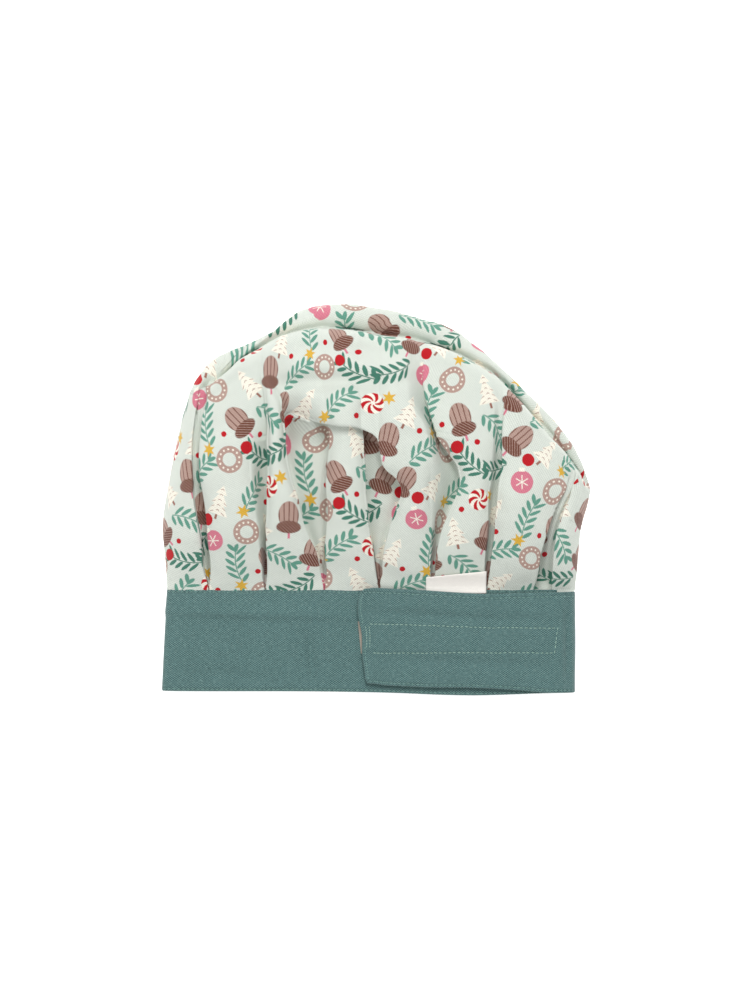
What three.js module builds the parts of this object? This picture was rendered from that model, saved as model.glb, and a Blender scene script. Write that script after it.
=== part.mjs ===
// A pleated cloth chef's hat, laid flat on its back with the closure side up.
// Sizes are millimetres. X runs across the hat, Y from the band's open edge to
// the crown's top, and Z up from the surface that the hat lies on.

import * as THREE from "three";

const SEAM_Y = -59;
const SEAM_GAP = 0.25;
const PLY_GAP = 0.3;

const CROWN_WALL = 1.2;
const MITRE_LIMIT = 0.6;
const CROWN_SEAM_Z = 14.2;
const SIDE_ROLL_SEAM_Z = 4.5;
const SIDE_ROLL_HIGH_Z = 9;
const RIDGE_ROLL_RADIUS = 10;
const LOBE_HEIGHT = 17;
const LOBE_CORNER_SHARE = 0.09;
const LOBE_EDGE_SHARE = 0.4;
const EVEN_SHARE = 0.7;
const RIDGE_DIP_DEPTH = 3.5;
const RIDGE_DIP_H = 143;
const RIDGE_DIP_REACH = 8;
const BACK_PLEAT_PITCH = 36;
const BACK_PLEAT_HEIGHT = 3.2;

const BAND_WALL = 2;
const BAND_BACK_Z = BAND_WALL / 2;
const BAND_HALF_WIDTH = 136;
const BAND_SIDE_Z = 4;
const BAND_CROWN_RISE = 9.75;
const BAND_LEFT_FLARE = 3.3;
const UNDER_END_X = 118;
const FLAP_END_X = -11.5;
const FLAP_FOLD_X = 114;
const FLAP_SIDE_X = 129;
const FLAP_SIDE_Z = 6.5;
const BACK_RIGHT_X = 121;
const BACK_LEFT_X = -131;

const TAPE_WALL = 1;
const TAPE_LEFT_X = -12.6;
const LOOP_LEFT_X = -7.5;
const TAPE_RIGHT_X = 116;
const TAPE_LOW_H = -41.6;
const TAPE_HIGH_H = -20.6;
const FLAP_LIFT = 2 * TAPE_WALL + 3 * PLY_GAP + BAND_WALL;

const LABEL_WALL = 0.8;
const LABEL_LEFT_X = 32.4;
const LABEL_WIDTH = 39.2;
const LABEL_TOP_LEFT_H = 8.2;
const LABEL_TOP_RIGHT_H = 12.3;
const LABEL_LOW_H = -2.4;
const LABEL_LIFT = 0.7;

const COLOURS = {
  crown: { hex: 0xcfd9ce, roughness: 0.9 },
  band: { hex: 0x5d7d7b, roughness: 0.92 },
  hook_strip: { hex: 0x9c958a, roughness: 0.8 },
  loop_strip: { hex: 0xa59f94, roughness: 0.95 },
  label: { hex: 0xddd7cd, roughness: 0.85 },
};

// X of the fold lines, one row per line, at these heights above the seam.
const FOLD_HEIGHTS = [0, 10, 25, 40, 55, 70, 85, 100, 115, 130, 145];
const FOLD_LINES = {
  leftSide: [-137, -137.5, -138.5, -139.5, -138, -135.5, -133, -129.5, -125.5, -120.5, -120.5],
  pleat1Left: [-111, -112, -113.5, -115, -117, -119, -119.5, -119.5, -118, -116.5, -116.5],
  pleat1Right: [-107.5, -108, -108.5, -109.5, -111.5, -113, -114, -114.5, -113.5, -110.5, -110.5],
  pleat2Left: [-74, -74.5, -75.5, -77.5, -79, -80.5, -81.5, -82, -82, -82, -82],
  pleat2Right: [-71, -71, -71, -71, -71, -71, -71, -70.5, -69.5, -72, -75],
  pleat3Left: [-35.5, -35.5, -38.5, -44, -49, -53.5, -57.5, -59, -60, -61.5, -66],
  pleat3Right: [-32, -32.5, -33, -32.5, -32, -32, -31.5, -30.5, -31.5, -34, -37],
  pleat4Left: [0, -0.5, -2, -4, -5.5, -6.5, -7, -7.5, -8.5, -9, -10.5],
  pleat4Right: [3.5, 3.5, 4.5, 7.5, 12, 16, 10.5, 3, 0.5, 0.5, 0.5],
  pleat5Left: [35, 35, 35, 35, 35, 34.5, 35, 34, 30, 22, 19],
  pleat5Right: [38, 38, 39, 42, 47, 53.5, 52, 42.5, 36.5, 32, 30],
  pleat6Left: [70, 70, 70.5, 71.5, 72, 73, 73.5, 74.5, 75.5, 75.5, 74],
  pleat6Right: [73.5, 73.5, 74.5, 76, 77, 78.5, 80.5, 81, 81.5, 82.5, 82.5],
  pleat7Left: [103, 105, 107.5, 110.5, 115.5, 122, 126, 126, 126, 126, 126],
  pleat7Right: [114.5, 114.5, 115, 117, 121, 127, 130.5, 130.5, 130.5, 130.5, 130.5],
  rightSide: [130, 130.5, 132, 134, 138, 140.5, 140.5, 140.5, 140.5, 140.5, 140.5],
};

// Depth of each pleat valley at fractions of the way from the seam to the ridge.
const DEPTH_FRACTIONS = [0, 0.12, 0.35, 0.6, 0.85, 1];
const PLEAT_DEPTHS = [
  [0.2, 3.5, 5, 5, 2, 0],
  [0.2, 5, 9, 8, 2, 0],
  [0.2, 8, 14, 13, 3, 1],
  [0.2, 6, 12, 10, 0, 0],
  [0.2, 6, 12, 7, 3, 1.5],
  [0.2, 4, 6, 6, 3, 1],
  [6, 7, 6, 4, 1, 0],
];
const WIDE_PLEATS = [false, false, true, true, true, false, true];

// Height of the crown's upper wall along its middle, by fraction of the way to the ridge.
const RISE_FRACTIONS = [0, 0.04, 0.1, 0.18, 0.3, 0.45, 0.62, 0.8, 0.92, 1];
const RISE_HEIGHTS = [CROWN_SEAM_Z, 18, 24.5, 30.5, 36, 40, 42, 42.5, 41, 40];

// How far the puff between two pleats stands above its edges, by the same fractions.
const PUFF_HEIGHTS = [0.6, 1.2, 2.2, 3.2, 4.2, 4.8, 4.6, 3.2, 1.6, 0.6];

// The front ridge and the back lobe's outline, from left to right: X, height above the seam.
const RIDGE_LINE = [
  [-120.4, 129.3], [-110, 132], [-86.3, 150.8], [-75.5, 156.7], [-60.6, 164.8],
  [-48.9, 167.7], [-39.8, 169], [-27.4, 168.7], [-15.1, 167.1], [3.1, 165.1],
  [21.3, 162.5], [39.5, 157.6], [53.2, 152.8], [62.9, 147.6], [77.2, 139.1],
  [87.6, 128.7], [98.7, 116], [110.4, 103.6], [120.1, 92.3], [126.6, 83.5],
  [133.1, 73.8], [137.7, 67], [140.3, 65],
];
const LOBE_LINE = [
  [-120.4, 129.3], [-116.5, 138.5], [-108.7, 148.2], [-93.1, 157], [-83.3, 159.9],
  [-75.5, 163.8], [-67.7, 167.7], [-58, 175.5], [-50.2, 181.3], [-40.4, 184.3],
  [-28.7, 185.2], [-17, 184.9], [-1.4, 182.9], [14.2, 179.8], [29.8, 175.5],
  [45.4, 171.2], [55.1, 166.7], [66.8, 158], [80.5, 146.2], [92.2, 134.6],
  [107.8, 119], [119.5, 107.2], [127.3, 95.5], [135.1, 80], [139.6, 67.6],
  [140.3, 65],
];

// The swag fold hangs over pleats 3 and 4: X and height of its lower edge.
const SWAG_LINE = [
  [-62, 122], [-49.5, 120], [-38.5, 115], [-28, 113],
  [-15, 112], [-6, 108.5], [-2, 106], [4, 99],
];
const SWAG_RISE = 8;
const SWAG_EDGE_FRACTION = 0.67;

// The flap's edges: X and height above the seam of its top edge and of its bottom edge.
const FLAP_TOP = [
  [FLAP_END_X, -2.5], [-7.6, 1.2], [12.9, 0.7], [32.7, -0.3],
  [52.5, -1.6], [72.7, -2.6], [92.2, -2], [129, -1.3],
];
const FLAP_BOTTOM = [
  [FLAP_END_X, -58], [-5, -61.4], [0, -62.3], [12.9, -62.4], [32.7, -63.4],
  [62.6, -63.7], [92.2, -65.3], [112.3, -67], [129, -67.3],
];
const UNDER_BOTTOM = [
  [-137, -66.3], [-17, -66.6], [12.9, -67.3], [42.8, -68.5], [62.6, -68.9],
  [82.4, -68.5], [102.6, -67.8], [129, -67.3],
];
// How far the flap's end is cut back, by the share of the way down its edge.
const FLAP_END = [[0, 0.6], [0.12, 0], [0.3, 0.8], [0.42, 2.2], [0.65, 2.6], [0.85, 4.5], [1, 6.5]];

// The value at x of a line through the rows [x, value].
function along(rows, x) {
  if (x <= rows[0][0]) return rows[0][1];
  for (let i = 1; i < rows.length; i++) {
    if (x <= rows[i][0]) {
      const share = (x - rows[i - 1][0]) / (rows[i][0] - rows[i - 1][0]);
      return rows[i - 1][1] + share * (rows[i][1] - rows[i - 1][1]);
    }
  }
  return rows[rows.length - 1][1];
}

function table(inputs, values) {
  return inputs.map((input, i) => [input, values[i]]);
}

// Eased step from 0 at a to 1 at b.
function ease(a, b, x) {
  const t = Math.min(1, Math.max(0, (x - a) / (b - a)));
  return t * t * (3 - 2 * t);
}

function mix(a, b, t) {
  return a + (b - a) * t;
}

// How full the lens-shaped section is at xi, from 0 at its sides (-1 and 1) to 1 in the middle.
function lens(xi, power) {
  return Math.sqrt(Math.max(0, 1 - Math.abs(xi) ** power));
}

// The point at a share of a polyline's length.
function pointAlong(points, share) {
  const lengths = [0];
  for (let i = 1; i < points.length; i++) {
    const step = Math.hypot(points[i][0] - points[i - 1][0], points[i][1] - points[i - 1][1]);
    lengths.push(lengths[i - 1] + step);
  }
  const goal = share * lengths[lengths.length - 1];
  return [
    along(points.map((p, i) => [lengths[i], p[0]]), goal),
    along(points.map((p, i) => [lengths[i], p[1]]), goal),
  ];
}

const LINE_NAMES = Object.keys(FOLD_LINES);
const LINE_TABLES = LINE_NAMES.map((name) => table(FOLD_HEIGHTS, FOLD_LINES[name]));
const DEPTH_TABLES = PLEAT_DEPTHS.map((depths) => table(DEPTH_FRACTIONS, depths));
const RISE_TABLE = table(RISE_FRACTIONS, RISE_HEIGHTS);
const PUFF_TABLE = table(RISE_FRACTIONS, PUFF_HEIGHTS);

// Where a fold line meets the ridge, as its height above the seam.
function ridgeHeightOf(line) {
  let height = 60;
  while (height < 170 && along(RIDGE_LINE, along(line, height)) > height) height += 0.5;
  return height;
}
const LINE_RIDGES = LINE_TABLES.map(ridgeHeightOf);
LINE_RIDGES[0] = RIDGE_LINE[0][1];
LINE_RIDGES[LINE_RIDGES.length - 1] = RIDGE_LINE[RIDGE_LINE.length - 1][1];

// The columns run from the left side to the right. Even strips are puffs and odd strips pleats.
function makeColumns() {
  const columns = [];
  for (let strip = 0; strip < LINE_NAMES.length - 1; strip++) {
    let shares = [0, 0.2, 0.5, 0.8];
    if (strip % 2 === 1) shares = WIDE_PLEATS[(strip - 1) / 2] ? [0, 0.16, 0.5, 0.84] : [0, 0.5];
    if (strip === 0) shares = [0, 0.25, 0.6];
    if (strip === LINE_NAMES.length - 2) shares = [0, 0.4, 0.75];
    shares.forEach((share) => columns.push({ strip, share }));
  }
  columns.push({ strip: LINE_NAMES.length - 2, share: 1 });
  columns.forEach((column, i) => {
    column.turn = i / (columns.length - 1);
  });
  return columns;
}

// The rows up the front, then over the ridge, through the groove and out to the lobe's edge.
const FRONT_ROWS = [0, 0.04, 0.1, 0.18, 0.28, 0.38, 0.48, 0.57, 0.63, 0.67, 0.72, 0.78, 0.85, 0.93];
const ROLL_ANGLES = [30, 65, 100].map((degrees) => (degrees * Math.PI) / 180);
const LOBE_ROWS = [
  { reach: 0.14, rise: 0.9 },
  { reach: 0.48, rise: 1 },
  { reach: 0.82, rise: 0.78 },
  { reach: 1, rise: LOBE_EDGE_SHARE },
];
const LAST_FRONT = FRONT_ROWS.length - 1;
const FIRST_LOBE = FRONT_ROWS.length + ROLL_ANGLES.length;
const LAST_ROW = FIRST_LOBE + LOBE_ROWS.length - 1;

// How high the swag fold raises the cloth at a point of the upper wall.
function swagRise(column, x, height) {
  const { strip, share } = column;
  const overEdge = ease(-1.5, 3, height - along(SWAG_LINE, x));
  const upperFade = 1 - 0.8 * ease(122, 140, height);
  const lowerRamp = ease(25, 95, height);
  if (strip < 5) return 0;
  if (strip < 7) return overEdge * upperFade * ease(-60, -48, x);
  if (strip === 7) return mix(overEdge, Math.max(lowerRamp, overEdge), ease(0.55, 1, share)) * upperFade;
  if (strip === 8) return lowerRamp * upperFade;
  if (strip === 9) return lowerRamp * upperFade * (1 - ease(0, 1, share));
  return 0;
}

// A pleat valley's depth shows below the swag fold, and closes where the fold hangs over it.
function valleyDepth(column, x, height, fraction) {
  const pleat = (column.strip - 1) / 2;
  let depth = along(DEPTH_TABLES[pleat], fraction);
  if (pleat === 2 || pleat === 3) depth *= 1 - 0.9 * ease(-1.5, 3, height - along(SWAG_LINE, x));
  const steepness = WIDE_PLEATS[pleat] ? 4 : 2;
  return depth * (1 - Math.abs(2 * column.share - 1) ** steepness);
}

// X and height above the seam of a column at a fraction of the way to the ridge.
function frontPlace(column, fraction) {
  const { strip, share } = column;
  const leftRidge = LINE_RIDGES[strip];
  const rightRidge = LINE_RIDGES[strip + 1];
  const leftX = (f) => along(LINE_TABLES[strip], f * leftRidge);
  const rightX = (f) => along(LINE_TABLES[strip + 1], f * rightRidge);
  const topX = mix(leftX(1), rightX(1), share);
  const ridge = along(RIDGE_LINE, topX);
  const x = mix(leftX(fraction), rightX(fraction), share);
  const edgeShift = along(SWAG_LINE, x) / ridge - SWAG_EDGE_FRACTION;
  const window = ease(-66, -56, x) * (1 - ease(6, 20, x));
  const pull = ease(0.3, 0.62, fraction) * (1 - ease(0.72, 0.93, fraction));
  return { x, ridge, height: (fraction + window * pull * edgeShift) * ridge };
}

// How high the side folds' middles are at a fraction of the way up.
function sideZ(fraction) {
  return mix(SIDE_ROLL_SEAM_Z, SIDE_ROLL_HIGH_Z, ease(0, 0.4, fraction));
}

// A point of the upper wall between the seam and the ridge roll.
function frontPoint(column, fraction) {
  const { x, ridge, height } = frontPlace(column, fraction);
  const last = LINE_NAMES.length - 1;
  const low = along(LINE_TABLES[0], fraction * LINE_RIDGES[0]);
  const high = along(LINE_TABLES[last], fraction * LINE_RIDGES[last]);
  const full = lens((2 * (x - low)) / (high - low) - 1, 4);
  let relief = 0;
  if (column.strip % 2 === 0) {
    relief = along(PUFF_TABLE, fraction) * (1 - Math.abs(2 * column.share - 1) ** 2.5);
  } else {
    relief = -valleyDepth(column, x, height, fraction);
  }
  relief += SWAG_RISE * swagRise(column, x, height);
  const dip = RIDGE_DIP_DEPTH * Math.exp(-(((height - RIDGE_DIP_H) / RIDGE_DIP_REACH) ** 2));
  relief -= dip * ease(-70, -55, x) * (1 - ease(0, 30, x));
  const side = sideZ(fraction);
  const z = side + (along(RISE_TABLE, fraction) - side) * full + relief * Math.min(1, full * 1.4);
  return [x, (height * (ridge - RIDGE_ROLL_RADIUS * full)) / ridge, z];
}

// How far along the ridge a column is, from 0 at its left end to 1 at its right end.
function ridgePlace(column) {
  const start = RIDGE_LINE[0][0];
  const end = RIDGE_LINE[RIDGE_LINE.length - 1][0];
  return Math.max(0, Math.min(1, (frontPlace(column, 1).x - start) / (end - start)));
}

// The rows that roll over the front ridge.
function rollPoint(column, index) {
  const top = frontPlace(column, 1);
  const full = lens(2 * ridgePlace(column) - 1, 6);
  const radius = RIDGE_ROLL_RADIUS * full;
  const start = frontPoint(column, FRONT_ROWS[LAST_FRONT]);
  const angle = ROLL_ANGLES[index];
  return [top.x, top.ridge - radius * (1 - Math.sin(angle)), start[2] - radius * (1 - Math.cos(angle))];
}

// The back lobe's rows: the groove behind the ridge, the crest, the shoulder and the edge.
function lobePoint(column, index) {
  const place = mix(ridgePlace(column), column.turn, EVEN_SHARE);
  const full = lens(2 * place - 1, 6);
  const top = frontPlace(column, 1);
  const edge = lobeEdge(place);
  const { reach, rise } = LOBE_ROWS[index];
  const wave = 1 + (rise > 0.5 ? 0.1 : 0) * Math.sin(18 * place + 1);
  const z = mix(SIDE_ROLL_HIGH_Z, LOBE_HEIGHT * rise * wave, full);
  return [mix(top.x, edge[0], reach), mix(top.ridge, edge[1], reach), z];
}

// The lobe's edge between the corners where it turns into the two sides.
function lobeEdge(place) {
  return pointAlong(LOBE_LINE, mix(LOBE_CORNER_SHARE, 1 - LOBE_CORNER_SHARE, place));
}

// A side point, shared by the upper and the lower wall.
function sidePoint(isLeft, row) {
  const line = isLeft ? 0 : LINE_NAMES.length - 1;
  if (row < FIRST_LOBE) {
    const rollShare = Math.max(0, row - LAST_FRONT) / ROLL_ANGLES.length;
    const fraction = mix(FRONT_ROWS[Math.min(row, LAST_FRONT)], 1, rollShare);
    const height = fraction * LINE_RIDGES[line];
    return [along(LINE_TABLES[line], height), height, sideZ(fraction)];
  }
  const share = LOBE_CORNER_SHARE * LOBE_ROWS[row - FIRST_LOBE].reach;
  const [x, height] = pointAlong(LOBE_LINE, isLeft ? share : 1 - share);
  return [x, height, row === LAST_ROW ? LOBE_HEIGHT * LOBE_EDGE_SHARE : SIDE_ROLL_HIGH_Z];
}

// A point of the lower wall, which lies flat but for the shallow backs of its pleats.
function backPoint(column, row) {
  const [leftX, leftH] = sidePoint(true, row);
  const [rightX, rightH] = sidePoint(false, row);
  const up = row / LAST_ROW;
  const seam = frontPlace(column, 0);
  const seamStart = LINE_TABLES[0][0][1];
  const seamEnd = LINE_TABLES[LINE_TABLES.length - 1][0][1];
  const lobePlace = mix(ridgePlace(column), column.turn, EVEN_SHARE);
  const across = mix((seam.x - seamStart) / (seamEnd - seamStart), lobePlace, ease(0, 0.3, up));
  const edge = lobeEdge(across);
  const [leftEdge, rightEdge] = [lobeEdge(0), lobeEdge(1)];
  const bulge = up ** 1.3;
  const x = mix(leftX, rightX, across) + bulge * (edge[0] - mix(leftEdge[0], rightEdge[0], across));
  const height = mix(leftH, rightH, across) + bulge * (edge[1] - mix(leftEdge[1], rightEdge[1], across));
  const full = lens(2 * across - 1, 12) * lens(up, 22);
  const side = mix(sideZ(up), LOBE_HEIGHT * LOBE_EDGE_SHARE, ease(0.8, 1, up));
  const pleat = Math.max(0, Math.cos((2 * Math.PI * seam.x) / BACK_PLEAT_PITCH)) ** 6;
  const reach = ease(0, 0.1, up) * (1 - ease(0.35, 0.75, up)) * lens(2 * across - 1, 8);
  const fold = BACK_PLEAT_HEIGHT * pleat * reach;
  return [x, height, side * (1 - full) + fold];
}

// A closed body from a sheet of vertices: the sheet, its offset inwards, and a rim between them.
function thickened(vertices, triangles, rim, wall) {
  const normals = vertices.map(() => new THREE.Vector3());
  const faceNormals = triangles.map((corners) => {
    const [a, b, c] = corners.map((corner) => vertices[corner]);
    const normal = b.clone().sub(a).cross(c.clone().sub(a));
    corners.forEach((corner) => normals[corner].add(normal));
    return normal.normalize();
  });
  rim.forEach((corner, i) => {
    const before = vertices[rim[(i + rim.length - 1) % rim.length]];
    const after = vertices[rim[(i + 1) % rim.length]];
    normals[corner].set(before.z - after.z, 0, after.x - before.x);
  });
  normals.forEach((normal) => normal.normalize());
  const slants = vertices.map(() => 1);
  triangles.forEach((corners, i) => {
    corners.forEach((corner) => {
      slants[corner] = Math.min(slants[corner], normals[corner].dot(faceNormals[i]));
    });
  });
  const inner = vertices.map((v, i) => {
    const reach = rim.includes(i) ? wall : wall / Math.max(MITRE_LIMIT, slants[i]);
    return v.clone().addScaledVector(normals[i], -reach);
  });
  const count = vertices.length;
  const faces = [...triangles];
  triangles.forEach(([a, b, c]) => faces.push([a + count, c + count, b + count]));
  rim.forEach((a, i) => {
    const b = rim[(i + 1) % rim.length];
    faces.push([b, a, a + count], [b, a + count, b + count]);
  });
  return bodyFrom([...vertices, ...inner], faces);
}

function bodyFrom(vertices, faces) {
  const geometry = new THREE.BufferGeometry();
  const positions = vertices.flatMap((v) => [v.x, v.y, v.z]);
  geometry.setAttribute("position", new THREE.Float32BufferAttribute(positions, 3));
  geometry.setIndex(faces.flat());
  return geometry;
}

function crownGeometry() {
  const columns = makeColumns();
  const last = columns.length - 1;
  const vertices = [];
  const addVertex = ([x, height, z]) => {
    vertices.push(new THREE.Vector3(x, SEAM_Y + SEAM_GAP + height, z));
    return vertices.length - 1;
  };
  const front = [];
  const back = [];
  for (let row = 0; row <= LAST_ROW; row++) {
    const left = addVertex(sidePoint(true, row));
    const right = addVertex(sidePoint(false, row));
    front.push([left]);
    back.push([left]);
    for (let i = 1; i < last; i++) {
      const column = columns[i];
      let upper;
      if (row <= LAST_FRONT) upper = frontPoint(column, FRONT_ROWS[row]);
      else if (row < FIRST_LOBE) upper = rollPoint(column, row - LAST_FRONT - 1);
      else upper = lobePoint(column, row - FIRST_LOBE);
      const upperIndex = addVertex(upper);
      front[row].push(upperIndex);
      back[row].push(row === LAST_ROW ? upperIndex : addVertex(backPoint(column, row)));
    }
    front[row].push(right);
    back[row].push(right);
  }
  const triangles = [];
  for (let row = 0; row < LAST_ROW; row++) {
    for (let i = 0; i < last; i++) {
      const quad = (grid) => [grid[row][i], grid[row][i + 1], grid[row + 1][i + 1], grid[row + 1][i]];
      const [a, b, c, d] = quad(front);
      triangles.push([a, b, c], [a, c, d]);
      const [e, f, g, h] = quad(back);
      triangles.push([e, g, f], [e, h, g]);
    }
  }
  const rim = [...front[0], ...back[0].slice(1, -1).reverse()];
  return thickened(vertices, triangles, rim, CROWN_WALL);
}

// The middle of the band's under-layer, as Z over X.
function underZ(x) {
  return BAND_SIDE_Z + BAND_CROWN_RISE * lens(x / BAND_HALF_WIDTH, 4);
}

// The band's path from the flap's end round the back to the under-end, in the XZ plane.
function bandPath() {
  const path = [];
  const add = (x, z, layer) => path.push({ x, z, layer });
  for (const x of [FLAP_END_X, -9, -6, 0, 12, 26, 40, 54, 68, 82, 96, 106]) {
    add(x, underZ(x) + FLAP_LIFT, "flap");
  }
  const foldTop = underZ(FLAP_FOLD_X) + FLAP_LIFT;
  for (const degrees of [0, 20, 40, 60, 75, 90]) {
    const angle = (degrees * Math.PI) / 180;
    const x = mix(FLAP_FOLD_X, FLAP_SIDE_X, Math.sin(angle));
    add(x, mix(FLAP_SIDE_Z, foldTop, Math.cos(angle)), "flap");
  }
  for (const degrees of [25, 50, 70, 90]) {
    const angle = (degrees * Math.PI) / 180;
    const x = mix(BACK_RIGHT_X, FLAP_SIDE_X, Math.cos(angle));
    add(x, mix(FLAP_SIDE_Z, BAND_BACK_Z, Math.sin(angle)), "back");
  }
  for (const x of [90, 45, 0, -45, -90]) add(x, BAND_BACK_Z, "back");
  for (const degrees of [0, 30, 60]) {
    const angle = (degrees * Math.PI) / 180;
    const x = mix(BACK_LEFT_X, -BAND_HALF_WIDTH, Math.sin(angle));
    add(x, mix(BAND_SIDE_Z, BAND_BACK_Z, Math.cos(angle)), "back");
  }
  for (const degrees of [0, 14, 28, 42, 56, 68, 78]) {
    const angle = (degrees * Math.PI) / 180;
    const x = -BAND_HALF_WIDTH * Math.sqrt(Math.cos(angle));
    add(x, BAND_SIDE_Z + BAND_CROWN_RISE * Math.sin(angle), "under");
  }
  for (const x of [-40, -20, 0, 20, 40, 60, 80, 95, 108, UNDER_END_X]) add(x, underZ(x), "under");
  return path;
}

// A strip swept along a path in the XZ plane, with its own top and bottom edge at each point.
function sweptStrip(path, wall, edgeShares, placeOf) {
  const outer = [];
  path.forEach((point, i) => {
    const before = path[Math.max(0, i - 1)];
    const after = path[Math.min(path.length - 1, i + 1)];
    const tangent = new THREE.Vector2(after.x - before.x, after.z - before.z).normalize();
    const normal = new THREE.Vector2(-tangent.y, tangent.x);
    outer.push(
      edgeShares.map((share) => {
        const { x, height } = placeOf(point, share);
        const half = wall / 2;
        const y = SEAM_Y + height;
        return [
          new THREE.Vector3(x + normal.x * half, y, point.z + normal.y * half),
          new THREE.Vector3(x - normal.x * half, y, point.z - normal.y * half),
        ];
      }),
    );
  });
  return outer;
}

// A closed body from a grid of point pairs, one on each face of the strip.
function stripGeometry(grid) {
  const rows = grid.length;
  const across = grid[0].length;
  const vertices = grid.flat(2);
  const at = (i, j, side) => 2 * (i * across + j) + side;
  const faces = [];
  const addQuad = (a, b, c, d) => faces.push([a, b, c], [a, c, d]);
  for (let i = 0; i < rows - 1; i++) {
    for (let j = 0; j < across - 1; j++) {
      addQuad(at(i, j, 0), at(i, j + 1, 0), at(i + 1, j + 1, 0), at(i + 1, j, 0));
      addQuad(at(i, j, 1), at(i + 1, j, 1), at(i + 1, j + 1, 1), at(i, j + 1, 1));
    }
    addQuad(at(i, 0, 0), at(i + 1, 0, 0), at(i + 1, 0, 1), at(i, 0, 1));
    const end = across - 1;
    addQuad(at(i, end, 0), at(i, end, 1), at(i + 1, end, 1), at(i + 1, end, 0));
  }
  for (let j = 0; j < across - 1; j++) {
    const last = rows - 1;
    addQuad(at(0, j, 0), at(0, j, 1), at(0, j + 1, 1), at(0, j + 1, 0));
    addQuad(at(last, j, 0), at(last, j + 1, 0), at(last, j + 1, 1), at(last, j, 1));
  }
  return bodyFrom(vertices, faces);
}

function bandPlace(point, share) {
  const { x, layer } = point;
  const top = layer === "flap" ? along(FLAP_TOP, x) : 0;
  const bottom = along(layer === "flap" ? FLAP_BOTTOM : UNDER_BOTTOM, x);
  const flare = x < 0 && layer !== "flap" ? -BAND_LEFT_FLARE * share * (-x / BAND_HALF_WIDTH) ** 3 : 0;
  const nearEnd = layer === "flap" ? 1 - ease(FLAP_END_X, 14, x) : 0;
  return { x: x + flare + nearEnd * along(FLAP_END, share), height: mix(top, bottom, share) };
}

function bandGeometry() {
  const shares = [0, 0.12, 0.3, 0.42, 0.65, 0.85, 1];
  return stripGeometry(sweptStrip(bandPath(), BAND_WALL, shares, bandPlace));
}

// A tape between the band's two layers; plies counts the tapes up to and with this one.
function tapeGeometry(leftX, plies) {
  const lift = BAND_WALL / 2 + plies * PLY_GAP + (plies - 0.5) * TAPE_WALL;
  const path = [];
  const steps = 14;
  for (let i = 0; i <= steps; i++) {
    const x = mix(leftX, TAPE_RIGHT_X, i / steps);
    path.push({ x, z: underZ(x) + lift });
  }
  const place = (point, share) => ({ x: point.x, height: mix(TAPE_HIGH_H, TAPE_LOW_H, share) });
  return stripGeometry(sweptStrip(path, TAPE_WALL, [0, 1], place));
}

// The label lies on the crown's puff between pleats 5 and 6, with its foot below the flap's edge.
function labelGeometry() {
  const puff = { strip: 10, share: 0.5 };
  const clearZ = (height) => {
    const fraction = Math.max(0, height) / frontPlace(puff, 0.1).ridge;
    return frontPoint(puff, fraction)[2] + LABEL_LIFT + LABEL_WALL / 2;
  };
  const grid = [];
  const steps = 4;
  for (let i = 0; i <= steps; i++) {
    const x = LABEL_LEFT_X + (LABEL_WIDTH * i) / steps;
    const top = mix(LABEL_TOP_LEFT_H, LABEL_TOP_RIGHT_H, i / steps);
    grid.push(
      [1, 0.72, 0.44, 0.18, 0].map((share) => {
        const height = mix(LABEL_LOW_H, top, share);
        const z = Math.max(clearZ(height), underZ(x) + BAND_WALL / 2 + PLY_GAP + LABEL_WALL / 2);
        const y = SEAM_Y + height;
        return [
          new THREE.Vector3(x, y, z + LABEL_WALL / 2),
          new THREE.Vector3(x, y, z - LABEL_WALL / 2),
        ];
      }),
    );
  }
  return stripGeometry(grid);
}

// The origin is under the middle of the hat, on the surface that it lies on.
function centred(group) {
  const box = new THREE.Box3().setFromObject(group, true);
  const middle = box.getCenter(new THREE.Vector3());
  group.children.forEach((mesh) => mesh.geometry.translate(-middle.x, -middle.y, -box.min.z));
  return group;
}

function hat() {
  const geometries = {
    crown: crownGeometry(),
    band: bandGeometry(),
    hook_strip: tapeGeometry(TAPE_LEFT_X, 1),
    loop_strip: tapeGeometry(LOOP_LEFT_X, 2),
    label: labelGeometry(),
  };
  const group = new THREE.Group();
  Object.entries(geometries).forEach(([name, geometry]) => {
    const { hex, roughness } = COLOURS[name];
    const material = new THREE.MeshStandardMaterial({ color: hex, roughness, metalness: 0 });
    const mesh = new THREE.Mesh(geometry, material);
    mesh.name = name;
    group.add(mesh);
  });
  return centred(group);
}

export default hat();
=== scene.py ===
"""Looks of a pleated cloth chef's hat that lies flat on its back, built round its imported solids.

Sizes in the classes are millimetres, as in the part's source: X runs across the hat, heights are
measured from the seam between band and crown, and Z goes up from the floor. The cloth shapes are
modelled directly from fold lines, with no cloth simulation, so every run gives the same hat.
"""

import logging
import math
from dataclasses import dataclass, field
from enum import Enum
from functools import partial
from typing import Callable, Sequence

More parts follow.
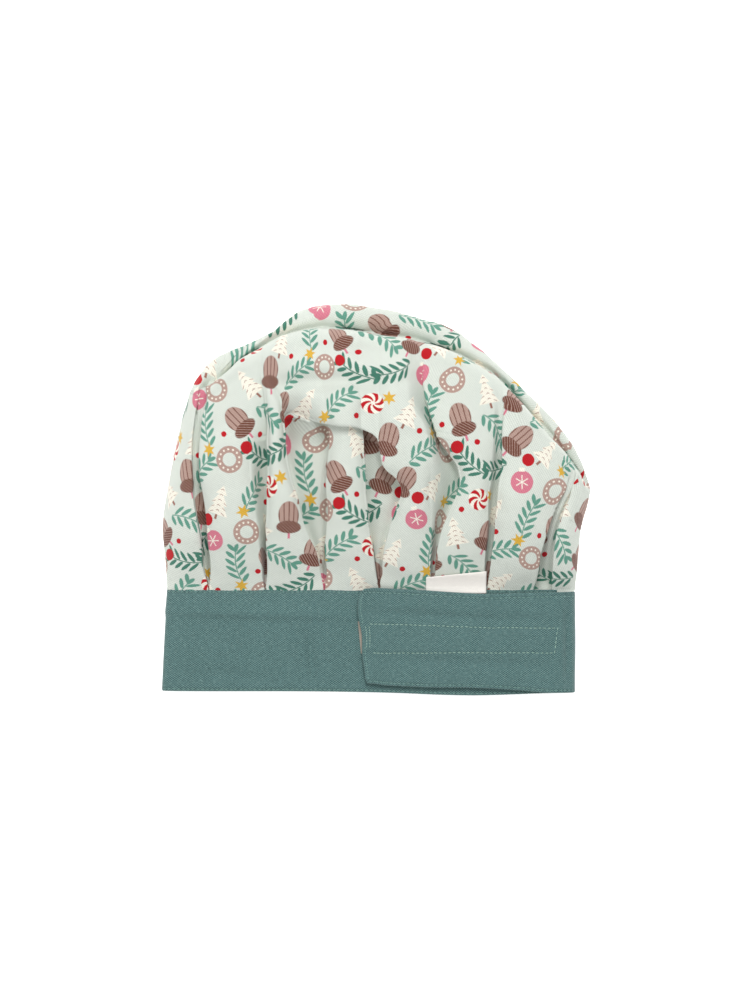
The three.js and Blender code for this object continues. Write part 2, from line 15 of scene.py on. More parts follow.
import bpy
import mathutils
import numpy as np
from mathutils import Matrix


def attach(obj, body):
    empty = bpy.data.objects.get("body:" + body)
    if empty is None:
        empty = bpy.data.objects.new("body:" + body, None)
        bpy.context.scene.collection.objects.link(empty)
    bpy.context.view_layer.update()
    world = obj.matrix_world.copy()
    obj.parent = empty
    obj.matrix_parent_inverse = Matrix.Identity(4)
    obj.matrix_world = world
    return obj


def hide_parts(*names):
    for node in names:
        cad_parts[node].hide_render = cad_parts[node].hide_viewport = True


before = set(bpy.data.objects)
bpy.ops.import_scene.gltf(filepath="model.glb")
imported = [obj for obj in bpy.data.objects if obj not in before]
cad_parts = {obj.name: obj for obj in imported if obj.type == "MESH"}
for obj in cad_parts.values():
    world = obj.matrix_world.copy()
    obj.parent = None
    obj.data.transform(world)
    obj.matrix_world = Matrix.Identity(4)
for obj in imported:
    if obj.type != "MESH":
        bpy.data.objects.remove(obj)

logging.basicConfig(level=logging.INFO, format="%(name)s: %(message)s")
LOG = logging.getLogger("chef_hat")

MM = 0.001
# The seam's middle in the part's frame, in millimetres.
CENTRE_X = 0.29
SEAM_Y = -58.27
BAND_HEIGHT = 66.5
FLAP_HEIGHT = 62.0
CLOTH_MAP = "cloth"
INK_BLUR = 0.22
Array = np.ndarray
Colour = tuple[float, float, float]
Span = tuple[float, float, float, float]


def srgb(red: int, green: int, blue: int) -> Colour:
    """The linear colour of an sRGB colour given in steps of 255."""
    return tuple(
        v / 12.92 if v <= 0.04045 else ((v + 0.055) / 1.055) ** 2.4
        for v in (red / 255, green / 255, blue / 255)
    )


def ease(start: float, end: float, at: Array) -> Array:
    """Eased step from 0 at start to 1 at end."""
    t = np.clip((np.asarray(at, float) - start) / (end - start), 0, 1)
    return t * t * (3 - 2 * t)


def within(span: Span, at: Array) -> Array:
    """1 between a span's two inner values, eased off to 0 at its two outer ones."""
    return ease(span[0], span[1], at) * (1 - ease(span[2], span[3], at))


def mix(a: Array, b: Array, t: Array) -> Array:
    """The value at share t of the way from a to b."""
    return a + (b - a) * t


def lens(across: Array, power: float) -> Array:
    """How full a lens-shaped section is, from 0 at its sides (-1 and 1) to 1 in its middle."""
    return np.sqrt(np.maximum(0, 1 - np.abs(across) ** power))


def curve(t: Array, start: Array, end: Array, first: Array, last: Array) -> Array:
    """A cubic from start to end with the slopes first and last, at shares t of the way."""
    near = (1 + 2 * t) * (1 - t) ** 2 * start + t * (1 - t) ** 2 * first
    return near + t * t * (3 - 2 * t) * end - t * t * (1 - t) * last


def smooth_along(inputs: Sequence[float], values: Sequence[float], at: Array) -> Array:
    """A smooth line through a table.

    Args:
        inputs: the table's rising inputs.
        values: the value at each input.
        at: where the line is read.

    Returns:
        The line's value at each place.
    """
    xs = np.asarray(inputs, float)
    ys = np.asarray(values, float)
    slopes = np.gradient(ys, xs)
    at = np.clip(at, xs[0], xs[-1])
    i = np.clip(np.searchsorted(xs, at, side="right") - 1, 0, len(xs) - 2)
    step = xs[i + 1] - xs[i]
    return curve((at - xs[i]) / step, ys[i], ys[i + 1], step * slopes[i], step * slopes[i + 1])


def along_table(table: Sequence[tuple[float, float]], at: Array) -> Array:
    """The smooth line through a table of (input, value), read at each place."""
    return smooth_along(*zip(*table), at)


def smooth_rows(keys: Array, turn: int, early: int, late: int) -> Array:
    """Rows drawn smoothly through key rows.

    Args:
        keys: the key rows.
        turn: the key row that ends the first stretch.
        early: how many rows the first stretch gets.
        late: how many rows the rest gets.

    Returns:
        The rows after the first key row.
    """
    last = len(keys) - 1
    fine = np.concatenate([np.linspace(0, turn, early + 1)[1:], np.linspace(turn, last, late + 1)[1:]])
    slopes = np.gradient(keys, axis=0)
    i = np.clip(fine.astype(int), 0, last - 1)
    return curve((fine - i)[:, None, None], keys[i], keys[i + 1], slopes[i], slopes[i + 1])


def lengths_along(line: Array) -> Array:
    """The length of a line up to each of its points."""
    return np.concatenate([[0], np.cumsum(np.linalg.norm(np.diff(line, axis=0), axis=1))])


def in_frame(across: Array, height: Array, z: Array) -> Array:
    """Points of the part's frame, from their places as seen from the seam's middle."""
    return np.stack([across + CENTRE_X, height + SEAM_Y, z], axis=-1)


def point_along(line: Array, share: Array) -> tuple[Array, Array]:
    """The two coordinates at a share of a line's length."""
    lengths = lengths_along(line)
    goal = np.asarray(share) * lengths[-1]
    return smooth_along(lengths, line[:, 0], goal), smooth_along(lengths, line[:, 1], goal)


class Signal:
    """One output socket of a shader, with operators that add Math nodes."""

    def __init__(self, graph: "Graph", socket: bpy.types.NodeSocket) -> None:
        """Keeps the graph and the socket that this signal comes from."""
        self.graph = graph
        self.socket = socket

    def maths(self, operation: str, *others: "Signal | float") -> "Signal":
        """The result of a Math node that takes this signal first."""
        return self.graph.maths(operation, self, *others)

    def __add__(self, other: "Signal | float") -> "Signal":
        """This signal plus another."""
        return self.maths("ADD", other)

    __radd__ = __add__

    def __sub__(self, other: "Signal | float") -> "Signal":
        """This signal less another."""
        return self.maths("SUBTRACT", other)

    def __rsub__(self, other: float) -> "Signal":
        """A number less this signal."""
        return self.graph.maths("SUBTRACT", other, self)

    def __mul__(self, other: "Signal | float") -> "Signal":
        """This signal times another."""
        return self.maths("MULTIPLY", other)

    __rmul__ = __mul__

    def __or__(self, other: "Signal") -> "Signal":
        """The distance to either of two shapes."""
        return self.maths("MINIMUM", other)

    def __and__(self, other: "Signal") -> "Signal":
        """The distance to what two shapes share."""
        return self.maths("MAXIMUM", other)

    def wave(self, length: float) -> "Signal":
        """A sine wave along this distance."""
        return (self * (math.tau / length)).maths("SINE")

    def blend(self, under: "Signal | Colour", over: "Signal | Colour") -> "Signal":
        """The colour that is this share of the way from one colour to another."""
        return self.graph.blend(self, under, over)

    def wrapped(self, reach: float) -> "Signal":
        """This signal wrapped to run from -reach to reach again and again."""
        return self.maths("WRAP", reach, -reach)

    def size(self) -> "Signal":
        """This signal without its sign."""
        return self.maths("ABSOLUTE")

    def inside(self, blur: float = INK_BLUR) -> "Signal":
        """1 where this distance is negative and 0 where it is positive, blurred at the edge."""
        return self.ramp(blur, -blur)

    def ramp(self, start: float, end: float) -> "Signal":
        """0 up to start and 1 from end on, with a straight slope between them."""
        inputs = {"Value": self, "From Min": start, "From Max": end}
        return self.graph.signal("ShaderNodeMapRange", {"clamp": True}, inputs, "Result")


class Graph:
    """The node graph of one material."""

    def __init__(self, name: str) -> None:
        """Makes an empty material with its output node."""
        self.material = bpy.data.materials.new(name)
        self.material.use_nodes = True
        self.tree = self.material.node_tree
        self.tree.nodes.clear()

    def node(self, kind: str, settings: dict, inputs: dict) -> bpy.types.Node:
        """Adds a node.

        Args:
            kind: the node's type.
            settings: the node's own settings, set before its sockets.
            inputs: a value or a signal for each named or numbered input socket.

        Returns:
            The new node.
        """
        node = self.tree.nodes.new(kind)
        for name, value in settings.items():
            setattr(node, name, value)
        for name, value in inputs.items():
            if isinstance(value, Signal):
                self.tree.links.new(value.socket, node.inputs[name])
            else:
                node.inputs[name].default_value = value
        return node

    def signal(self, kind: str, settings: dict, inputs: dict, output: str | int = 0) -> Signal:
        """Adds a node and returns one of its outputs as a signal."""
        return Signal(self, self.node(kind, settings, inputs).outputs[output])

    def maths(self, operation: str, *values: Signal | float) -> Signal:
        """Adds a Math node for these values."""
        return self.signal("ShaderNodeMath", {"operation": operation}, dict(enumerate(values)))

    def vector(self, operation: str, *values: Signal | tuple) -> Signal:
        """Adds a Vector Math node for these vectors."""
        return self.signal("ShaderNodeVectorMath", {"operation": operation}, dict(enumerate(values)))

    def blend(self, share: Signal | float, under: Signal | Colour, over: Signal | Colour) -> Signal:
        """The colour that is a share of the way from one colour to another."""
        pair = [c if isinstance(c, Signal) else (*c, 1.0) for c in (under, over)]
        inputs = {0: share, 6: pair[0], 7: pair[1]}
        return self.signal("ShaderNodeMix", {"data_type": "RGBA"}, inputs, 2)

    def plain(self, colour: Colour) -> Signal:
        """One colour everywhere."""
        return self.blend(0.0, colour, colour)

    def shaded(self, colour: Signal, amount: Signal) -> Signal:
        """A colour made lighter or darker by an amount near 1."""
        grey = self.signal("ShaderNodeCombineXYZ", {}, {0: amount, 1: amount, 2: amount})
        return self.vector("MULTIPLY", colour, grey)

    def noise(
        self, place: Signal, scale: float, detail: float = 2.0, squeeze: tuple[float, float] | None = None
    ) -> Signal:
        """Noise from 0 to 1 over a place.

        Args:
            place: where it is read.
            scale: one over the size of its features.
            detail: how many finer layers it has.
            squeeze: how much shorter the features are across and along, or None for round ones.

        Returns:
            The noise.
        """
        if squeeze:
            place = self.vector("MULTIPLY", place, (*squeeze, 1))
        inputs = {"Vector": place, "Scale": scale, "Detail": detail}
        return self.signal("ShaderNodeTexNoise", {"noise_dimensions": "3D"}, inputs, 0)

    def parts(self, vector: Signal) -> tuple[Signal, Signal, Signal]:
        """The three numbers of a vector."""
        node = self.node("ShaderNodeSeparateXYZ", {}, {0: vector})
        return tuple(Signal(self, node.outputs[i]) for i in range(3))

    def cloth_place(self) -> Signal:
        """Millimetres along the cloth, from the piece's own UV map."""
        return self.signal("ShaderNodeUVMap", {"uv_map": CLOTH_MAP}, {})

    def finish(
        self, colour: Signal, roughness: Signal | float, height: Signal | None, depth: float, **constants
    ) -> bpy.types.Material:
        """Closes the graph with a Principled shader.

        Args:
            colour: the base colour.
            roughness: the roughness.
            height: the relief, from 0 to 1, or None for a smooth face.
            depth: the relief's depth in metres.
            constants: other sockets of the shader, by name, with spaces as underscores.

        Returns:
            The finished material.
        """
        inputs = {"Base Color": colour, "Roughness": roughness}
        if height is not None:
            bump = {"Height": height, "Distance": depth, "Strength": 1.0}
            inputs["Normal"] = self.signal("ShaderNodeBump", {}, bump)
        inputs |= {name.replace("_", " "): value for name, value in constants.items()}
        shader = self.signal("ShaderNodeBsdfPrincipled", {}, inputs)
        self.node("ShaderNodeOutputMaterial", {}, {0: shader})
        return self.material


class Motif(Enum):
    """The printed motifs. Each one is a plain shape that any such cloth could carry."""

    SPRIG = "leafy sprig"
    DARK_SPRIG = "darker leafy sprig"
    RING = "iced ring biscuit"
    ACORN = "striped acorn"
    BAUBLE = "pink bauble"
    FIR = "cream fir tree"
    MINT = "striped sweet"
    STAR = "six-pointed star"
    BERRY = "large berry"
    DOT = "small berry"


@dataclass(frozen=True)
class Placed:
    """A motif's place in the print's repeat in millimetres, its turn in degrees and its size."""

    motif: Motif
    across: float
    up: float
    turn: float = 0.0
    size: float = 1.0


@dataclass(frozen=True)
class Spot:
    """A motif's own place on the cloth, as distances from its middle, and the colour under it."""

    across: Signal
    along: Signal
    radius: Signal
    under: Signal

    def wrapped_angle(self, sector: float, twist: float = 0.0) -> Signal:
        """The angle round the middle, wrapped into sectors that may curve with the radius."""
        angle = self.across.maths("ARCTAN2", self.along)
        return (angle + self.radius * twist if twist else angle).wrapped(sector)

    def bar(self, up: float, wide: float, long: float) -> Signal:
        """The distance to an upright bar, from its place and half its width and length."""
        return (self.across.size() - wide) & ((self.along - up).size() - long)


def oval(across: Signal, along: Signal, wide: float, long: float) -> Signal:
    """The rough distance to an oval, from its half width and half length."""
    a = across * (1 / wide)
    b = along * (1 / long)
    return ((a * a + b * b).maths("SQRT") - 1) * min(wide, long)


@dataclass(frozen=True)
class PrintedCotton:
    """Fine twill cotton in pale mint, with a small winter print that repeats."""

    repeat: float = 96.0
    ground: Colour = srgb(213, 219, 210)
    leaf: Colour = srgb(98, 152, 134)
    dark_leaf: Colour = srgb(70, 124, 106)
    red: Colour = srgb(186, 27, 36)
    mustard: Colour = srgb(216, 172, 66)
    brown: Colour = srgb(178, 149, 138)
    dark_brown: Colour = srgb(110, 70, 58)
    pink: Colour = srgb(209, 122, 140)
    cream: Colour = srgb(240, 236, 222)
    rust: Colour = srgb(150, 104, 90)
    layout: tuple[Placed, ...] = (
        Placed(Motif.SPRIG, 35, 10, 35, 0.85),
        Placed(Motif.DARK_SPRIG, 83, 11, 150, 0.85),
        Placed(Motif.SPRIG, 47, 38, 86, 0.85),
        Placed(Motif.SPRIG, 95, 37, 325, 0.85),
        Placed(Motif.DARK_SPRIG, 11, 61, 205, 0.85),
        Placed(Motif.SPRIG, 70, 84, 40, 0.85),
        Placed(Motif.ACORN, 10, 14, 262, 1.25),
        Placed(Motif.ACORN, 71, 36, 300, 1.25),
        Placed(Motif.ACORN, 23, 84, 245, 1.25),
        Placed(Motif.FIR, 23, 36, 70, 1.2),
        Placed(Motif.FIR, 83, 61, 115, 1.2),
        Placed(Motif.FIR, 47, 86, 60, 1.2),
        Placed(Motif.RING, 59, 14, 0, 1.05),
        Placed(Motif.RING, 59, 61, 40, 1.05),
        Placed(Motif.BAUBLE, 35, 60, 110, 1.05),
        Placed(Motif.MINT, 94, 85, 0, 1.15),
        Placed(Motif.STAR, 46, 23, 10, 0.9),
        Placed(Motif.STAR, 8, 42, 35, 0.9),
        Placed(Motif.STAR, 60, 75, 0, 0.9),
        Placed(Motif.BERRY, 72, 19, 0, 0.9),
        Placed(Motif.BERRY, 34, 75, 0, 0.9),
        Placed(Motif.DOT, 30, 23, 0, 0.85),
        Placed(Motif.DOT, 59, 31, 0, 0.85),
        Placed(Motif.DOT, 84, 25, 0, 0.85),
        Placed(Motif.DOT, 84, 76, 0, 0.85),
    )

    def sprig(self, leaf: Colour, at: Spot) -> Signal:
        """A bent stem with leaves in turn on its two sides and one at its tip.

        Args:
            leaf: the leaves' colour.
            at: the motif's own place on the cloth.

        Returns:
            The colour with the sprig on it.
        """
        spacing = 6.2
        bent = at.across - at.along * at.along * 0.011 + 1.0
        beside = bent.size()
        rung = at.along - beside * 0.8 + bent.maths("SIGN") * 1.6 + 0.5
        count = (rung * (1 / spacing)).maths("ROUND").maths("MAXIMUM", -2).maths("MINIMUM", 2)
        leaves = oval(beside - 4.1, rung - count * spacing, 3.7, 1.9)
        stem = (beside - 0.42) & (at.along.size() - 14.5)
        tip = oval(bent, at.along - 15.8, 1.8, 3.6)
        return (leaves | stem | tip).inside().blend(at.under, leaf)

    def berry(self, size: float, at: Spot) -> Signal:
        """A plain round berry."""
        return (at.radius - size).inside().blend(at.under, self.red)

    def star(self, at: Spot) -> Signal:
        """A star with six points and straight sides.

        Args:
            at: the motif's own place on the cloth.

        Returns:
            The colour with the star on it.
        """
        sector, tip, notch = math.pi / 6, 5.6, 2.5
        angle = at.wrapped_angle(sector).size()
        side = np.array([notch * math.cos(sector) - tip, notch * math.sin(sector)])
        out = np.array([side[1], -side[0]]) / np.hypot(*side)
        shape = at.radius * angle.maths("COSINE") * out[0] + at.radius * angle.maths("SINE") * out[1]
        return (shape - tip * out[0]).inside().blend(at.under, self.mustard)

    def ring(self, at: Spot) -> Signal:
        """A ring with thirteen beads of icing round it.

        Args:
            at: the motif's own place on the cloth.

        Returns:
            The colour with the ring on it.
        """
        middle, half_width, bead_size = 6.3, 2.1, 0.62
        away = at.radius - middle
        beside = at.wrapped_angle(math.pi / 13) * middle
        bead = ((beside * beside + away * away).maths("SQRT") - bead_size).inside()
        return bead.blend((away.size() - half_width).inside().blend(at.under, self.brown), self.cream)

    def mint(self, at: Spot) -> Signal:
        """A round sweet with curved stripes.

        Args:
            at: the motif's own place on the cloth.

        Returns:
            The colour with the sweet on it.
        """
        size, core, sector = 6.2, 1.1, math.pi / 6
        swirl = at.wrapped_angle(sector, 0.16)
        stripe = (swirl.size() * at.radius - at.radius * (sector / 2)).inside()
        face = (at.radius - core).inside().blend(stripe.blend(self.red, self.cream), self.cream)
        return (at.radius - size).inside().blend(at.under, face)

    def acorn(self, at: Spot) -> Signal:
        """A ribbed nut with a woven cap and a stalk.

        Args:
            at: the motif's own place on the cloth.

        Returns:
            The colour with the acorn on it.
        """
        blur, rib_gap, weave_gap = 0.18, 1.25, 0.9
        nut = oval(at.across, at.along + 2.2, 5.6, 7.4).inside()
        cap = oval(at.across, at.along - 4.4, 6.6, 3.6).inside()
        ribs = (at.across + at.across * at.along * 0.012).wrapped(rib_gap).size() - 0.24
        weave = (at.across + at.along).wrapped(weave_gap).size() - 0.2
        face = nut.blend(at.under, ribs.inside(blur).blend(self.brown, self.dark_brown))
        face = at.bar(8.6, 0.6, 2.4).inside().blend(face, self.pink)
        return cap.blend(face, weave.inside(blur).blend(self.dark_brown, self.brown))

    def bauble(self, at: Spot) -> Signal:
        """A ball with a frosted star and a cap.

        Args:
            at: the motif's own place on the cloth.

        Returns:
            The colour with the bauble on it.
        """
        size, frost_size = 7.0, 4.2
        spoke = (at.wrapped_angle(math.pi / 6) * at.radius).size() - 0.32
        frost = (spoke & (at.radius - frost_size)).inside()
        face = (at.radius - size).inside().blend(at.under, frost.blend(self.pink, self.cream))
        return at.bar(7.6, 1.7, 1.2).inside().blend(face, self.cream)

    def fir(self, at: Spot) -> Signal:
        """A fir tree of tiers, with short strokes on it.

        Args:
            at: the motif's own place on the cloth.

        Returns:
            The colour with the tree on it.
        """
        half_height, tier_height = 8.6, 2.9
        tier = at.along.wrapped(tier_height) * 0.36 + at.along * 0.3 - 3.1
        tree = ((at.across.size() + tier) & (at.along.size() - half_height)).inside()
        stroke = (at.along + at.across.size() * 0.5).wrapped(tier_height / 2).size() - 0.17
        stroke = (stroke & (at.across.wrapped(1.8).size() - 1.0)).inside(0.16)
        face = at.bar(-9.8, 0.7, 1.6).inside().blend(at.under, self.rust)
        return tree.blend(face, stroke.blend(self.cream, self.rust))

    def inked(self, graph: Graph, place: Signal, placed: Placed, under: Signal) -> Signal:
        """Prints one motif over the colours under it. Each repeat lies half its height above the last.

        Args:
            graph: the material's graph.
            place: millimetres along the cloth, with the ink's ragged edge in it.
            placed: the motif and its place in the repeat.
            under: the colour under the motif.

        Returns:
            The colour with the motif on it.
        """
        half = self.repeat / 2
        across, up, _ = graph.parts(graph.vector("SUBTRACT", place, (placed.across, placed.up, 0)))
        near_across = across.wrapped(half)
        near_up = (up + (across - near_across) * 0.5).wrapped(half)
        near = graph.signal("ShaderNodeCombineXYZ", {}, {"X": near_across, "Y": near_up})
        near = graph.vector("MULTIPLY", near, (1 / placed.size, 1 / placed.size, 1))
        turn = {"Vector": near, "Angle": math.radians(90 - placed.turn)}
        turned = graph.signal("ShaderNodeVectorRotate", {"rotation_type": "Z_AXIS"}, turn)
        radius = graph.signal("ShaderNodeVectorMath", {"operation": "LENGTH"}, {0: turned}, 1)
        at = Spot(*graph.parts(turned)[:2], radius, under)
        drawn = {
            Motif.SPRIG: partial(self.sprig, self.leaf),
            Motif.DARK_SPRIG: partial(self.sprig, self.dark_leaf),
            Motif.RING: self.ring,
            Motif.ACORN: self.acorn,
            Motif.BAUBLE: self.bauble,
            Motif.FIR: self.fir,
            Motif.MINT: self.mint,
            Motif.STAR: self.star,
            Motif.BERRY: partial(self.berry, 4.6),
            Motif.DOT: partial(self.berry, 2.2),
        }
        return drawn[placed.motif](at)

    def material(self) -> bpy.types.Material:
        """The finished cloth."""
        graph = Graph("printed_cotton")
        place = graph.cloth_place()
        inputs = {"Vector": place, "Scale": 1.3, "Detail": 1.0}
        ragged = graph.signal("ShaderNodeTexNoise", {"noise_dimensions": "2D"}, inputs, 1)
        shaken = graph.vector("ADD", place, graph.vector("MULTIPLY", ragged, (0.5, 0.5, 0)))
        colour = graph.plain(self.ground)
        for placed in self.layout:
            colour = self.inked(graph, shaken, placed, colour)
        height = twill(graph, place, 1.25, 40, 0.4, 0.12)
        patch = graph.noise(place, 0.06)
        colour = graph.shaded(colour, 0.8 + patch * 0.06 + height * 0.34)
        return graph.finish(
            colour, 0.93, height, 0.00016, Sheen_Weight=0.15, Sheen_Roughness=0.5, Specular_IOR_Level=0.2
        )


def twill(graph: Graph, place: Signal, spacing: float, slope: float, slub: float, cross: float) -> Signal:
    """Twill ribs over the cloth.

    Args:
        graph: the material's graph.
        place: millimetres along the cloth.
        spacing: millimetres from one diagonal rib to the next.
        slope: degrees from the ribs to the cloth's width.
        slub: how uneven the threads are, from 0 to 1.
        cross: how strongly the ribs of the other slant show.

    Returns:
        The threads' height, from about 0 to 1.
    """
    across, along, _ = graph.parts(place)
    uneven = graph.noise(place, 0.9, squeeze=(0.35, 1.2)) + graph.noise(place, 0.9, squeeze=(1.2, 0.35))
    rate = math.tau / spacing
    sideways = across * (math.sin(math.radians(slope)) * rate) + uneven * 0.8
    upward = along * (math.cos(math.radians(slope)) * rate)
    rib = (sideways + upward).maths("SINE")
    other = (sideways - upward).maths("SINE")
    return rib * 0.26 + other * cross + (uneven - 1) * slub + 0.5


@dataclass(frozen=True)
class BandCanvas:
    """Teal twill canvas, doubled, with pressed edges and sunk rows of stitching."""

    base: Colour = srgb(86, 116, 115)
    dark: Colour = srgb(60, 89, 88)
    light: Colour = srgb(126, 154, 149)
    stitch_depth: float = 1.5
    stitch_pitch: float = 3.0
    flap_length: float = 126.0
    flap_top: float = 1.6
    flap_low: float = 0.3
    # The tape box's long sides: how far down each lies at the flap's end, and its slant.
    box_sides: tuple[tuple[float, float], ...] = ((24.7, 0.0097), (44.8, 0.041))

    def material(self) -> bpy.types.Material:
        """The finished canvas."""
        graph = Graph("band_canvas")
        place = graph.cloth_place()
        across, down, _ = graph.parts(place)
        height = twill(graph, place, 1.15, 37, 0.3, 0.24)
        flecks = graph.noise(place, 0.9, 3.0, (0.4, 2.0))
        warp = graph.noise(place, 0.9, 3.0, (2.0, 0.4))
        colour = graph.blend(flecks.ramp(0.5, 0.9), self.base, self.light)
        colour = graph.blend(warp.ramp(0.5, 0.9), colour, self.dark)
        flap = across.ramp(self.flap_length + 4, self.flap_length)
        top = self.sunk(down - self.stitch_depth - flap * self.flap_top)
        low = self.sunk(BAND_HEIGHT - self.stitch_depth - flap * self.flap_low - down)
        box = [self.sunk(down - depth + across * slant) for depth, slant in self.box_sides]
        box = box[0].maths("MAXIMUM", box[1]) * flap * 0.7
        sunk = top.maths("MAXIMUM", low).maths("MAXIMUM", box)
        pucker = across.wave(self.stitch_pitch) * 0.2 + 0.8
        # Painted shade: the colour is darkened a little along the sunk stitch rows, where shade falls in
        # their grooves.
        amount = 0.3 + graph.noise(place, 0.075, squeeze=(1, 0.3)) * 0.16 + height * 1.3 - sunk * 0.1
        colour = graph.shaded(colour, amount)
        relief = height * 0.5 - sunk * pucker
        return graph.finish(
            colour, 0.92, relief, 0.0003, Sheen_Weight=0.2, Sheen_Roughness=0.5, Specular_IOR_Level=0.2
        )

    def sunk(self, away: Signal) -> Signal:
        """How far a row of stitches pulls the canvas down, from its distance. It sets the relief and the
        painted shade along the row.
        """
        return (away.size() - 0.3).ramp(1.1, 0)


@dataclass(frozen=True)
class Thread:
    """Sewing thread of two plies."""

    name: str
    colour: Colour

    def material(self) -> bpy.types.Material:
        """The finished thread."""
        graph = Graph(self.name)
        place = graph.signal("ShaderNodeTexCoord", {}, {}, "Object")
        fuzz = graph.noise(place, 2500, 2.0)
        colour = graph.shaded(graph.plain(self.colour), 0.82 + fuzz * 0.36)
        return graph.finish(colour, 0.7, fuzz, 0.00006, Sheen_Weight=0.2, Specular_IOR_Level=0.3)


@dataclass(frozen=True)
class TapeNap:
    """The face of a closure tape, with rows of hooks or a brushed pile of loops."""

    name: str
    colour: Colour
    pile: float

    def material(self) -> bpy.types.Material:
        """The finished tape."""
        graph = Graph(self.name)
        place = graph.signal("ShaderNodeTexCoord", {}, {}, "Object")
        millimetres = graph.vector("MULTIPLY", place, (1000, 1000, 1000))
        x, y, _ = graph.parts(millimetres)
        rows = x.wave(1.5) * y.wave(1.1)
        nap = graph.noise(millimetres, 1.6, 3.0)
        height = nap * self.pile + (rows * 0.5 + 0.5) * (1 - self.pile)
        colour = graph.shaded(graph.plain(self.colour), 0.72 + height * 0.5)
        return graph.finish(colour, 0.85, height, 0.0003, Sheen_Weight=0.3, Specular_IOR_Level=0.25)


@dataclass(frozen=True)
class LabelTape:
    """Blank off-white cotton tape, finely woven."""

    colour: Colour = srgb(250, 245, 238)

    def material(self) -> bpy.types.Material:
        """The finished label."""
        graph = Graph("label_tape")
        place = graph.cloth_place()
        across, along, _ = graph.parts(place)
        grain = across.wave(0.5) * along.wave(0.4)
        slubs = graph.noise(place, 1.2, 3.0, (0.4, 2.0))
        colour = graph.shaded(graph.plain(self.colour), 1.0 + slubs * 0.07 + grain * 0.015)
        return graph.finish(colour, 0.8, grain * 0.4 + slubs, 0.00008, Sheen_Weight=0.15)


def deselect_all() -> None:
    """Leaves nothing selected, so that an operator acts only on what is picked next."""
    bpy.ops.object.select_all(action="DESELECT")


def mesh_piece(
    name: str, points: Array, faces: Array, uvs: Array | None, material: bpy.types.Material
) -> bpy.types.Object:
    """Makes a smooth-shaded piece of the hat.

    Args:
        name: the piece's name.
        points: its points in millimetres, one row each.
        faces: corner numbers, one row for each face, with -1 as the fourth of a triangle.
        uvs: millimetres along the cloth for each corner of each face, or None.
        material: its finish.

    Returns:
        The new object, riding on the hat's body.
    """
    mesh = bpy.data.meshes.new(name)
    rows = [tuple(int(v) for v in face if v >= 0) for face in faces]
    mesh.from_pydata((points * MM).tolist(), [], rows)
    mesh.polygons.foreach_set("use_smooth", [True] * len(rows))
    if uvs is not None:
        layer = mesh.uv_layers.new(name=CLOTH_MAP)
        kept = uvs.reshape(-1, 2)[(faces >= 0).reshape(-1)]
        layer.data.foreach_set("uv", kept.astype(np.float32).reshape(-1))
    mesh.materials.append(material)
    mesh.update()
    piece = bpy.data.objects.new(name, mesh)
    bpy.context.scene.collection.objects.link(piece)
    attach(piece, "root")
    return piece


def grid_faces(rows: int, columns: int, start: int = 0, flip: bool = False) -> Array:
    """The quads of a grid of points, counted row by row."""
    r, c = np.meshgrid(np.arange(rows - 1), np.arange(columns - 1), indexing="ij")
    a = (start + r * columns + c).reshape(-1)
    quads = np.stack([a, a + 1, a + columns + 1, a + columns], axis=1)
    return quads[:, ::-1] if flip else quads


def slab(
    name: str, middle: Array, thick: Array, flat: Array, material: bpy.types.Material
) -> bpy.types.Object:
    """Makes a thin closed piece of tape.

    Args:
        name: the piece's name.
        middle: a grid of points in its middle, shaped (columns, rows, 3).
        thick: its thickness at each of them.
        flat: millimetres along the tape at each of them, shaped (columns, rows, 2).
        material: its finish.

    Returns:
        The tape's piece.
    """
    up = np.zeros_like(middle)
    up[..., 2] = thick / 2
    columns, rows = thick.shape
    count = columns * rows
    number = np.arange(count).reshape(columns, rows)
    rim = np.concatenate([number[:, 0], number[-1, 1:], number[-2::-1, -1], number[0, -2:0:-1]])
    after = np.roll(rim, -1)
    wall = np.stack([rim, rim + count, after + count, after], axis=-1)
    faces = np.concatenate([grid_faces(columns, rows)[:, ::-1], grid_faces(columns, rows, count), wall])
    points = np.concatenate([(middle + up).reshape(-1, 3), (middle - up).reshape(-1, 3)])
    uvs = np.tile(flat.reshape(-1, 2), (2, 1))[faces]
    piece = mesh_piece(name, points, faces, uvs, material)
    turn_faces_out(piece)
    return piece


@dataclass(frozen=True)
class Waves:
    """Soft waves that run every way, as slack cloth has."""

    seed: int
    length: float
    height: float
    count: int = 22

    def at(self, x: Array, y: Array) -> Array:
        """The waves' height at each place.

        Args:
            x: the places' first coordinate.
            y: their second one.

        Returns:
            Millimetres out.
        """
        draw = np.random.RandomState(self.seed)
        total = np.zeros(np.broadcast(x, y).shape)
        for _ in range(self.count):
            turn, phase = draw.uniform(0, math.tau, 2)
            rate = math.tau / (self.length * draw.uniform(0.65, 1.6))
            total += np.sin((x * math.cos(turn) + y * math.sin(turn)) * rate + phase)
        return total * self.height / math.sqrt(self.count)


